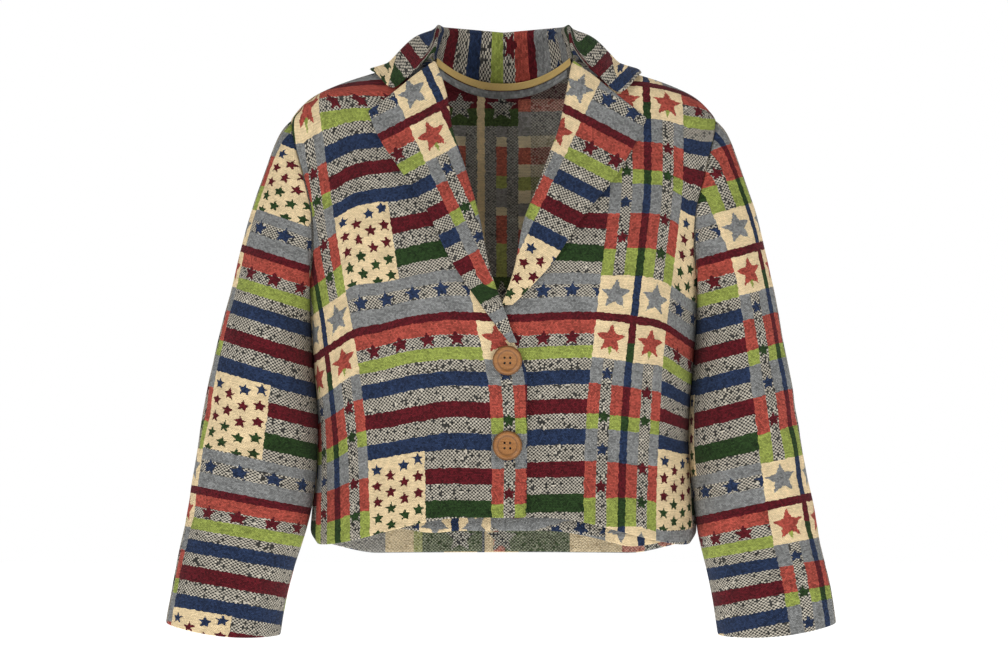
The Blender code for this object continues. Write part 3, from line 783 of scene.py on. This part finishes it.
sleeveGrain = {  # a line of the pattern and where it runs, then curves by frame height
    right: {
        "line": 0,
        "lineArc": -55,
        "down": (256.8, 253 / 242.7),
        "centre": Curve([(90, 268), (256.8, 275), (499.5, 248), (640, 225)]),
        "slope": Curve([(90, 0.4), (250, 0.33), (500, 0.2), (640, 0.16)]),
        "lag": Curve(
            [(240, 2), (300, 0), (345, 1), (375, 3), (445, 3), (505, -1), (530, -4.5)]
            + [(555, -7), (590, -7), (625, -8)]
        ),
    },
    left: {
        "line": 124,
        "lineArc": 8.6,
        "down": (251, 253 / 256.5),
        "centre": Curve([(90, 730), (251, 737), (507, 756), (640, 777)]),
        "slope": Curve([(90, 0.36), (250, 0.28), (500, 0.218), (640, 0.19)]),
        "lag": Curve(
            [(240, 1), (300, 0), (345, 0), (410, 1), (445, 3), (505, 0), (530, -1)]
            + [(550, -4), (570, -9), (596, -13), (625, -15)]
        ),
    },
}


def sleeveGrainOf(side):
    facts = sleeveGrain[side]

    def grain(around, down, middle, point):
        if middle > 0.5 and around < 0.25:
            around = 1
        angle = around * math.tau
        turn = angle - math.pi / 2 if middle < 0.5 else angle - math.pi / 2 - math.tau
        turn *= -side
        arc = 52 * turn - 1.6 * math.sin(2 * turn)
        frameX, frameY = photoPlace(point)
        level = frameY + side * facts["slope"](frameY) * (frameX - facts["centre"](frameY))
        chartDown = 4 + (level - facts["lag"](frameY) - facts["down"][0]) * facts["down"][1]
        return facts["line"] + (arc - facts["lineArc"]) / chart.step, chartDown

    return grain


lapelGrain = {  # for each way of the cloth: the pattern's value, where it lies in the frame, which way it grows
    right: ((124, (423, 159), (0.909, -0.416)), (4, (411.8, 120), (0.467, 0.887)), 46),
    left: ((0, (568, 149.5), (0.9, 0.43)), (4, (584, 117.7), (-0.46, 0.888)), 0),
}


def lapelGrainOf(side):
    acrossWay, downWay, drift = lapelGrain[side]

    def grain(across, up, middle, point):
        place = photoPlace(point)
        across, down = (
            value + (place[0] - x) * wayX + (place[1] - y) * wayY
            for value, (x, y), (wayX, wayY) in (acrossWay, downWay)
        )
        return across - drift * ease((place[1] - 282) / 24), down

    return grain


def sumOf(operation, swapped=False):
    def apply(wire, other):
        return wire.graph.math(operation, *((other, wire) if swapped else (wire, other)))

    return apply


class Wire:  # a shader socket that works in sums
    def __init__(self, graph, socket):
        self.graph, self.socket = graph, socket

    __add__ = __radd__ = sumOf("ADD")
    __sub__, __rsub__ = sumOf("SUBTRACT"), sumOf("SUBTRACT", swapped=True)
    __mul__ = __rmul__ = sumOf("MULTIPLY")
    __truediv__ = sumOf("DIVIDE")
    __mod__ = sumOf("MODULO")
    __lt__, __gt__ = sumOf("LESS_THAN"), sumOf("GREATER_THAN")


class Graph:
    def __init__(self, name):
        self.material = bpy.data.materials.new(name)
        self.material.use_nodes = True
        self.tree = self.material.node_tree
        self.shader = self.tree.nodes["Principled BSDF"]

    def feed(self, socket, value):
        if isinstance(value, Wire):
            self.tree.links.new(value.socket, socket)
        else:
            socket.default_value = value

    def node(self, kind, settings=None, inputs=None, out=0):  # out is one output, or several as a list
        made = self.tree.nodes.new("ShaderNode" + kind)
        for key, value in (settings or {}).items():
            setattr(made, key, value)
        for key, value in (inputs or {}).items():
            self.feed(made.inputs[key], value)
        if isinstance(out, list):
            return [Wire(self, made.outputs[o]) for o in out]
        return Wire(self, made.outputs[out])

    def math(self, operation, *values):
        return self.node("Math", {"operation": operation}, dict(enumerate(values)))

    def between(self, value, low, high):
        return (value > low) * (value < high)

    def mix(self, share, a, b):
        return self.node("Mix", {"data_type": "RGBA"}, {"Factor": share, 6: a, 7: b}, out=2)

    def shade(self, colour, amount):  # brighter or darker by a number
        colour = colour if isinstance(colour, Wire) else colour[:3]
        return self.node("VectorMath", {"operation": "SCALE"}, {0: colour, "Scale": amount})

    def vector(self, x, y):
        return self.node("CombineXYZ", None, {"X": x, "Y": y})

    def parts(self, value, out):
        return self.node("SeparateXYZ", None, {0: value}, out=out)

    def ramp(self, stops, share, out=0):  # steps of flat colour
        wires = self.node("ValToRGB", None, {"Fac": share}, out=out)
        ramp = (wires[0] if isinstance(out, list) else wires).socket.node.color_ramp
        ramp.interpolation = "CONSTANT"
        while len(ramp.elements) < len(stops):
            ramp.elements.new(1)
        for element, (place, colour) in zip(ramp.elements, stops):
            element.position, element.color = place, colour
        return wires

    def cloud(self, x, y, scale, detail, rough=0.5, out=0):
        flat = {"noise_dimensions": "2D"}
        inputs = {"Vector": self.vector(x, y), "Scale": scale, "Detail": detail, "Roughness": rough}
        return self.node("TexNoise", flat, inputs, out=out)

    def chance(self, column, row):
        return self.node("TexWhiteNoise", {"noise_dimensions": "2D"}, {"Vector": self.vector(column, row)})

    def surface(self, colour, rough, strength, distance, height):
        bump = self.node("Bump", None, {"Strength": strength, "Distance": distance, "Height": height})
        for key, value in (("Base Color", colour), ("Roughness", rough), ("Normal", bump)):
            self.feed(self.shader.inputs[key], value)
        return self.material


def srgb(r, g, b):
    return tuple(((v / 255 + 0.055) / 1.055) ** 2.4 if v > 10 else v / 255 / 12.92 for v in (r, g, b)) + (1,)


def tones(**colours):
    return {name: srgb(*colour) for name, colour in colours.items()}


palette = tones(
    cream=(232, 208, 165), burgundy=(88, 20, 28), rust=(166, 74, 62), lime=(146, 158, 76), grey=(130, 131, 130),
    blue=(36, 50, 78), green=(38, 60, 28), tweedLight=(198, 190, 174), tweedDark=(62, 61, 58),
)
reversePalette = tones(
    cream=(238, 222, 184), burgundy=(98, 32, 40), rust=(196, 112, 94), lime=(172, 176, 106),
    grey=(152, 150, 145), blue=(62, 74, 90), green=(72, 90, 50), tweedLight=(196, 192, 178),
    tweedDark=(68, 68, 68), tan=(238, 214, 168),
)
flagRows = [  # top to bottom: height, colour, tweed
    (8, "burgundy", 0), (14, "rust", 0), (13, "cream", 1), (13, "lime", 0), (12, "cream", 1), (15, "blue", 0),
    (13, "cream", 1), (15, "burgundy", 0), (15, "cream", 1), (15, "blue", 0), (16, "cream", 1),
    (16, "burgundy", 0), (15, "cream", 1), (18, "green", 0), (13, "cream", 1), (12, "grey", 0),
    (14, "cream", 1), (16, "grey", 0),
]
sashBlocks = [  # height, colour, corner square
    (8, "burgundy", 1), (39, "cream", 1), (26, "grey", 0), (30, "rust", 0), (15, "lime", 0), (31, "grey", 0),
    (35, "rust", 0), (29, "lime", 0), (40, "cream", 1),
]
thinLine = [
    (27, "burgundy"), (20, "green"), (26, "blue"), (30, "burgundy"), (15, "green"), (31, "blue"),
    (35, "burgundy"), (29, "green"), (40, "blue"),
]
flagStars = [(0, "burgundy"), (133, "blue"), (147, "burgundy"), (180, "green"), (211, "blue")]
sashStars = [
    (0, "rust"), (47, "blue"), (70, "burgundy"), (90, "green"), (122, "blue"), (146, "burgundy"),
    (181, "green"), (213, "grey"),
]
columnStars = [  # from this height, the heights of the star in each half of the sash
    (47, 63, 77), (85, 63, 106), (90, 106, 106), (122, 138, 153), (156, 174, 153), (172, 174, 188), (213, 0, 0),
]

# The reverse: where the face is plain the reverse is speckled, and the other way round
reverseBlocks = [
    (28, "burgundy"), (19, "green"), (12, "grey"), (10, "cream"), (31, "rust"), (14, "lime"), (21, "grey"),
    (10, "cream"), (31, "rust"), (37, "lime"), (20, "green"), (20, "burgundy"),
]
reverseEdge = [
    (18, "burgundy"), (13, "rust"), (17, "grey"), (10, "grey"), (13, "cream"), (17, "rust"), (14, "cream"),
    (14, "lime"), (15, "cream"), (15, "grey"), (15, "cream"), (19, "rust"), (18, "cream"), (15, "lime"),
    (40, "grey"),
]
hemInside = [  # from the wearer's left to right
    (70, "rust"), (55, "tan"), (68, "green"), (12, "rust"), (9, "tan"), (3, "blue"), (62, "green"),
    (10, "lime"), (31, "tan"), (20, "grey"),
]


def runOf(rows, colours, period):
    stops, at = [], 0
    for row in rows:
        stops.append((at / period, colours[row[1]][:3] + (float(row[2]) if len(row) > 2 else 1,)))
        at += row[0]
    return stops


def starOf(g, x, y, waist=0.47):  # inside a five-pointed star of radius 1, one point up
    length = g.math("SQRT", x * x + y * y)
    turn = g.math("ARCTAN2", x, y * -1) + (math.pi / 5 + math.tau)
    turn = g.math("ABSOLUTE", turn % (math.tau / 5) - math.pi / 5)
    px, py = length * g.math("COSINE", turn), length * g.math("SINE", turn)
    waistX, waistY = waist * math.cos(math.pi / 5), waist * math.sin(math.pi / 5)
    return (py * (waistX - 1) - (px - 1) * waistY) > 0


# The chart's stars: each kind's radius, spacing and rows, and the flag's square of small ones
canton = SimpleNamespace(width=59, top=133, end=211, across=14.25, down=16.7, star=6.5)
rowStars = SimpleNamespace(apart=28, high=(17.5, 36), low=(220, 239.5), drop=202.6, star=8.9)
cornerStars = SimpleNamespace(middle=17.7, apart=43.6, down=27, drop=206, star=16, small=7.6)
# One cell of the plain weave and of the tweed, then where the hem turn lies on the reverse
threads = SimpleNamespace(wide=1.7, high=1.6, tweedWide=1.8, tweedHigh=1.65)
hemPlace = SimpleNamespace(start=1975, length=340, low=2750, high=2790)
lowHalf = 120  # below this the chart is in its lower rows of stars


def patchwork(name, colours, reverse=False):
    g = Graph(name)
    period = chart.period
    place = g.parts(g.node("UVMap", {"uv_map": "grain"}), [0, 1])
    rawS, rawT = place[0] * 100, place[1] * 100
    wobble = g.parts(g.cloud(rawS, rawT, 0.21, 2, out=1), [0, 1])
    picks = g.math("SNAP", rawT + (wobble[1] - 0.5) * 2.6, 0.85)
    ends = g.math("SNAP", rawS + (wobble[0] - 0.5) * 2.6, 1)
    s, t = ends % chart.width, picks % period
    down = t / period
    sash = s > chart.flag
    c = s - chart.flag

    def run(rows, out=0):
        return g.ramp(runOf(rows, colours, period), down, out)

    def plainStops(stars):
        return [(height / period, colours[colour][:3] + (1,)) for height, colour in stars]

    rowColour, rowTweed = run(flagRows, [0, 1])
    blockColour, corner = run(sashBlocks, [0, 1])
    thinColour = run(thinLine)
    columns = [(0, 0, 0), (12, 1, 0), (23.5, 0, 0), (35, 0, 1), (43, 0, 0), (55, 1, 0), (67, 0, 0)]
    columnStops = [(a / chart.sash, (float(b), float(d), 0, 1)) for a, b, d in columns]
    columnMask = g.parts(g.ramp(columnStops, c / chart.sash), [0, 1])
    starStops = [(a / period, (b / period, d / period, 0, 1)) for a, b, d in columnStars]
    starHeights = g.parts(g.ramp(starStops, down), [0, 1])

    # threads: one cell to a crossing, laid like bricks
    threadRow = g.math("FLOOR", rawT / threads.high)
    threadAcross = rawS / threads.wide + (threadRow % 2) * 0.5
    threadColumn = g.math("FLOOR", threadAcross)
    fx, fy = threadAcross - threadColumn - 0.5, rawT / threads.high - threadRow - 0.5
    # each thread cell is domed: lighter in its middle and darker at its edges as painted shade, and raised in
    # the bump
    threadDomeShade = (1 - fx * fx * 4) * (1 - fy * fy * 4)
    threadChance = g.chance(threadColumn, threadRow)

    # tweed: pale and dark threads by turns, with stray ones
    tweedColumn = g.math("FLOOR", rawS / threads.tweedWide + (wobble[0] - 0.5) * 0.7)
    tweedRow = g.math("FLOOR", rawT / threads.tweedHigh + (wobble[1] - 0.5) * 0.7)
    byTurns = (tweedColumn + tweedRow) % 2
    light = (byTurns * 0.72 + g.chance(tweedColumn, tweedRow) * 0.8) > 0.79
    tweed = g.mix(light, colours["tweedDark"], colours["tweedLight"])

    flag = g.mix(rowTweed, rowColour, tweed)
    inCanton = (s < canton.width) * g.between(t, canton.top, canton.end) * (1 - sash)
    flag = g.mix(inCanton, flag, colours["cream"])
    tweedStrip = columnMask[0] * (1 - corner) * sash
    strip = g.mix(tweedStrip, blockColour, tweed)
    strip = g.mix(columnMask[1], strip, thinColour)
    if reverse:
        mesh = g.mix(0.5, tweed, colours["grey"])
        strip = g.mix(columnMask[0] + corner, mesh, run(reverseBlocks))
        strip = g.mix(columnMask[1], strip, colours["tan"])
        flag = g.mix((s < 112) * 0.55, run(reverseEdge), tweed)
    base = g.mix(sash, flag, strip)
    if reverse:
        start, length = hemPlace.start, hemPlace.length
        hemColour = g.ramp(runOf(hemInside, colours, length), (rawS - start) / length)
        hemBand = g.between(rawT, hemPlace.low, hemPlace.high) * g.between(rawS, start, start + length)
        base = g.mix(hemBand, base, g.mix(0.4, hemColour, tweed))

    # stars, all drawn by one shape
    farHalf = c > 39
    lowRow = t > lowHalf
    acrossSash = c - cornerStars.middle - farHalf * cornerStars.apart
    cornerStar = corner * sash * (1 - columnMask[1]) * (t > 8)
    cornerDown = t - cornerStars.down - lowRow * cornerStars.drop
    columnDown = t - (starHeights[0] + (starHeights[1] - starHeights[0]) * farHalf) * period
    rowStar = (1 - sash) * (g.between(t, *rowStars.high) + g.between(t, *rowStars.low))
    rowAcross = (s - 4.5 + lowRow * 4.5 + rowStars.apart) % rowStars.apart - rowStars.apart / 2
    rowDown = t - 27.2 - lowRow * rowStars.drop
    column = g.math("FLOOR", s / canton.across)
    cantonAcross = s % canton.across - 8.7
    cantonTop = 143.6 + (column % 2) * g.between(column, 0.5, 1.5) * 8 - (column > 2.5) * 4.4
    cantonDown = (t - cantonTop + 8.4) % canton.down - 8.4
    kinds = [  # where each kind is drawn, its place from the star's middle and its radius
        (rowStar, rowAcross, rowDown, rowStars.star),
        (inCanton, cantonAcross, cantonDown, canton.star),
        (cornerStar, acrossSash, cornerDown, cornerStars.star),
        (tweedStrip, acrossSash, columnDown, cornerStars.small),
    ]
    starX = sum(where * across / radius for where, across, low, radius in kinds)
    starY = sum(where * low / radius for where, across, low, radius in kinds)
    star = starOf(g, starX, starY) * sum(kind[0] for kind in kinds)
    if reverse:
        base = g.mix(star * cornerStar, base, tweed)
    else:
        starTop = (t - inCanton * cantonDown) / period
        starColour = g.mix(sash, g.ramp(plainStops(flagStars), starTop), g.ramp(plainStops(sashStars), down))
        tail = cornerStar * g.between(t, 32, 43) * (g.math("ABSOLUTE", acrossSash) < (44 - t) * 0.3)
        base = g.mix(tail, base, colours["lime"])
        base = g.mix(star, base, starColour)

    # wear: mottled dye and stray specks, with painted shade of the weave: each thread cell lighter in its
    # middle, darker at its edges
    mottle = g.cloud(rawS, rawT, 0.055, 3, 0.6)
    streak = g.cloud(rawS * 0.25, rawT * 2.2, 0.35, 2)
    paleness = g.node("RGBToBW", None, {0: base})
    speckle = (threadChance - 0.5) * (0.8 - paleness * 0.95)
    amount = 0.34 + mottle * 0.5 + streak * 0.42 + threadDomeShade * 0.22 + speckle
    for key, value in (("Specular IOR Level", 0.12), ("Sheen Weight", 0.03), ("Sheen Roughness", 0.6)):
        g.shader.inputs[key].default_value = value
    height = threadDomeShade * 0.8 + threadChance * 0.5 + mottle * 1.6 + streak * 1.2
    return g.surface(g.shade(base, amount), 0.86 + mottle * 0.12, 0.8, 0.0007, height)


faceCloth = patchwork("patchwork_face", palette)
backCloth = patchwork("patchwork_reverse", reversePalette, reverse=True)
print("cloth materials made")


pieces = {}
inside = (0, 0, -150)
insideCollar = (0, 20, 10)
behindNeck = (0, 150, 0)


def clothPiece(
    node,
    place,
    grain,
    columns,
    rows,
    behind=inside,
    around=False,
    probe=(0.5, 0.5),
    wall=cut.cloth,
):
    name = "shell_" + node
    bm = bmesh.new()
    bmesh.ops.create_grid(bm, x_segments=columns, y_segments=rows, size=1)
    uvLayer = bm.loops.layers.uv.new("grain")
    shares = {v.index: ((v.co.x + 1) / 2, (v.co.y + 1) / 2) for v in bm.verts}
    points = {}
    for vertex in bm.verts:
        across, up = shares[vertex.index]
        if around and across > 1 - 1e-6:
            across = 0
        points[vertex.index] = place(across, up)
    for face in bm.faces:
        middle = sum(shares[v.index][0] for v in face.verts) / len(face.verts)
        for loop in face.loops:
            across, up = shares[loop.vert.index]
            s, t = grain(across, up, middle, points[loop.vert.index])
            loop[uvLayer].uv = ((s + chart.width * 10) / 100, (t + chart.period * 10) / 100)
        face.smooth = True
    for vertex in bm.verts:
        vertex.co = points[vertex.index] * mm
    step = 0.01
    here = place(*probe)
    normal = (place(probe[0] + step, probe[1]) - here).cross(place(probe[0], probe[1] + step) - here)
    if normal.dot(here - Vector(behind)) < 0:
        bmesh.ops.reverse_faces(bm, faces=bm.faces)
    if around:
        bmesh.ops.remove_doubles(bm, verts=bm.verts, dist=1e-6)
    mesh = bpy.data.meshes.new(name)
    bm.to_mesh(mesh)
    bm.free()
    mesh.materials.append(faceCloth)
    mesh.materials.append(backCloth)
    piece = bpy.data.objects.new(name, mesh)
    bpy.context.scene.collection.objects.link(piece)
    shell = piece.modifiers.new("wall", "SOLIDIFY")
    shell.thickness, shell.offset = wall * mm, -1
    shell.material_offset = 1
    smooth = piece.modifiers.new("smooth", "SUBSURF")
    smooth.levels = smooth.render_levels = 1
    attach(piece, "root")
    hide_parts(node)
    pieces[node] = piece


def steps(count):
    return max(int(count * detail), 6)


def sidePieces(side):
    name = sideNames[side]
    clothPiece("front_" + name, frontPlace(side), frontGrain(side), steps(40), steps(84))
    clothPiece(
        "sleeve_" + name,
        sleevePlace(side),
        sleeveGrainOf(side),
        steps(56) // 2 * 2,
        steps(96),
        (side * 255, -8, -330),
        around=True,
        probe=(0.25, 0.5),
    )
    clothPiece("lapel_" + name, lapelPlace(side), lapelGrainOf(side), steps(26), steps(54), probe=(0.7, 0.6))


sidePieces(right)
sidePieces(left)
clothPiece("back", backPlace, backGrain, steps(84), steps(84))
print("panels made")

collarLength = Curve([(0, 0), (0.25, 40), (0.5, 76), (0.72, 118), (0.87, 152), (1, 185)])


def collarGrain(along, across, middle, point):
    share = abs(along - 0.5) * 2
    run = math.copysign(collarLength(share), along - 0.5)
    s, t = 42 + (1 - across) * 82, 4 - (run - 33) / chart.step
    frameX, frameY = photoPlace(point)
    lean = 59 + (frameY - 60) * 0.3
    if point.x < 0:
        fallS, fallT = lean + (frameX - 395) * 1.1, 95 + 1.32 * ((455 - frameX) * 0.8 + (frameY - 35) * 0.6)
    else:
        fallS = lean - (frameX - 612) * 1.1
        fallT = -64 - 1.27 * ((frameX - 588.7) * 0.72 + (frameY - 44) * 0.69)
    fall = ease((share - 0.4) / 0.28) * ease((across - 0.36) / 0.16)
    return blend(s, fallS, fall), blend(t, fallT, fall)


clothPiece("collar", collarSurface(), collarGrain, steps(84), steps(34), insideCollar, probe=(0.5, 0.85))
clothPiece(
    "neck_binding",
    insideBackPlace(-5.2, 2.6, 0.8, 2.6),
    lambda a, u, m, p: (a * 200, u * 10),
    steps(54),
    4,
    behindNeck,
    wall=1,
)
clothPiece(
    "neck_seam_allowance",
    insideBackPlace(-14, -5.6, 0.7, 1.6),
    lambda a, u, m, p: (60 + p.x * 0.4, 215 + u * 4),
    steps(48),
    4,
    behindNeck,
    wall=1,
)
clothPiece("hem_turn", hemTurnPlace, hemTurnGrain, steps(66), 8, wall=1.6)
print("collar and neck made")


def tapeMaterial(colour, ribStep):
    g = Graph("mustard_twill_tape")
    place = g.node("TexCoord", None, None, out="Object")
    mottle = g.node("TexNoise", None, {"Vector": place, "Scale": 60, "Detail": 4})
    x, z = g.parts(place, [0, 2])
    rib = g.math("SINE", (x + z * 0.35) * (math.tau / ribStep))
    amount = 0.75 + mottle * 0.4 + rib * 0.06
    return g.surface(g.shade(colour, amount), 0.8 + mottle * 0.15, 0.6, 0.0003, rib + mottle)


tapeCloth = tapeMaterial(srgb(212, 180, 112), 0.0016)
for slotMaterial in range(2):
    pieces["neck_binding"].data.materials[slotMaterial] = tapeCloth


def buttonMaterial(name, centre):
    g = Graph(name + "_horn")
    place = g.node("TexCoord", None, None, out="Object")
    x, z = g.parts(place, [0, 2])
    dx, dz = x - centre[0], z - centre[2]
    radius = g.math("SQRT", dx * dx + dz * dz) * 1000
    stretched = g.node("Mapping", None, {"Vector": place, "Scale": (60, 60, 400)})
    grain = g.node("TexNoise", None, {"Vector": stretched, "Scale": 1.2, "Detail": 4})
    colour = g.mix(grain, srgb(112, 66, 28), srgb(178, 122, 62))
    # painted shade: the ring groove and the rim past 13.6 mm are darkened in colour, and the same rings sink
    # the bump
    shadedGrooveAndRim = g.between(radius, 9.3, 10.7) * 0.34 + (radius > 13.6) * 0.45
    holeX = g.math("ABSOLUTE", g.math("ABSOLUTE", dx) * 1000 - 2.9)
    holeZ = g.math("ABSOLUTE", g.math("ABSOLUTE", dz) * 1000 - 2.7)
    # the thread holes: painted near black below, as painted shade inside them, and sunk in the bump
    shadedHole = (holeX * holeX + holeZ * holeZ) < 1.5
    colour = g.shade(g.mix(shadedHole, colour, srgb(24, 14, 10)), 1 - shadedGrooveAndRim)
    return g.surface(colour, 0.38 + grain * 0.15, 0.4, 0.0004, grain - shadedGrooveAndRim * 3 - shadedHole * 4)


for name in ("button_top", "button_bottom"):
    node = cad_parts[name]
    corners = [Vector(corner) for corner in node.bound_box]
    horn = buttonMaterial(name, sum(corners, Vector()) / 8)
    if not node.material_slots:
        node.data.materials.append(horn)
    for used in node.material_slots:
        used.material = horn
print("buttons made")

stage = SimpleNamespace(floor=-0.95, reach=9)


def floorPlane():
    bm = bmesh.new()
    bmesh.ops.create_grid(bm, x_segments=2, y_segments=2, size=stage.reach)
    for vertex in bm.verts:
        vertex.co.z = stage.floor
    mesh = bpy.data.meshes.new("floor")
    bm.to_mesh(mesh)
    bm.free()
    g = Graph("pale_floor")
    pale, white = (0.9, 0.9, 0.9, 1), (1, 1, 1, 1)
    looks = {"Base Color": pale, "Roughness": 0.9, "Emission Color": white, "Emission Strength": 1}
    for key, value in looks.items():
        g.shader.inputs[key].default_value = value
    mesh.materials.append(g.material)
    made = bpy.data.objects.new("floor", mesh)
    bpy.context.scene.collection.objects.link(made)


floorPlane()


def softLight(name, place, target, size, power):
    data = bpy.data.lights.new(name, "AREA")
    data.shape, data.size, data.energy = "SQUARE", size, power
    lamp = bpy.data.objects.new(name, data)
    lamp.location = place
    lamp.rotation_euler = (Vector(target) - Vector(place)).to_track_quat("-Z", "Y").to_euler()
    bpy.context.scene.collection.objects.link(lamp)


softLight("key", (-2.1, -1.9, 1.5), (0, 0, -0.25), 1, 41)
softLight("fill", (2.3, -1.7, 1), (0, 0, -0.3), 1.2, 27)
softLight("top", (0, 0.2, 2.2), (0, 0, -0.3), 1.8, 13)
softLight("back", (0.6, 2.6, 1.4), (0, 0, -0.25), 1.6, 30)
world = bpy.data.worlds.new("studio")
world.use_nodes = True
backdrop = world.node_tree.nodes["Background"]
backdrop.inputs["Color"].default_value = (1, 1, 1, 1)
lightPath = world.node_tree.nodes.new("ShaderNodeLightPath")
seen = world.node_tree.nodes.new("ShaderNodeMapRange")
seen.inputs["To Min"].default_value, seen.inputs["To Max"].default_value = 0.22, 1
world.node_tree.links.new(lightPath.outputs["Is Camera Ray"], seen.inputs["Value"])
world.node_tree.links.new(seen.outputs["Result"], backdrop.inputs["Strength"])
bpy.context.scene.world = world
bpy.context.scene.view_settings.view_transform = "Standard"

cameraData = bpy.data.cameras.new("camera")
cameraData.sensor_width = 36
frameWidth = 2 * shot.x * shot.step
cameraData.lens = cameraData.sensor_width * shot.distance / frameWidth
camera = bpy.data.objects.new("camera", cameraData)
camera.location = (shot.aimX * mm, -shot.distance * mm, shot.aimZ * mm)
camera.rotation_euler = (math.pi / 2, 0, 0)
bpy.context.scene.collection.objects.link(camera)
bpy.context.scene.camera = camera
print("stage set")
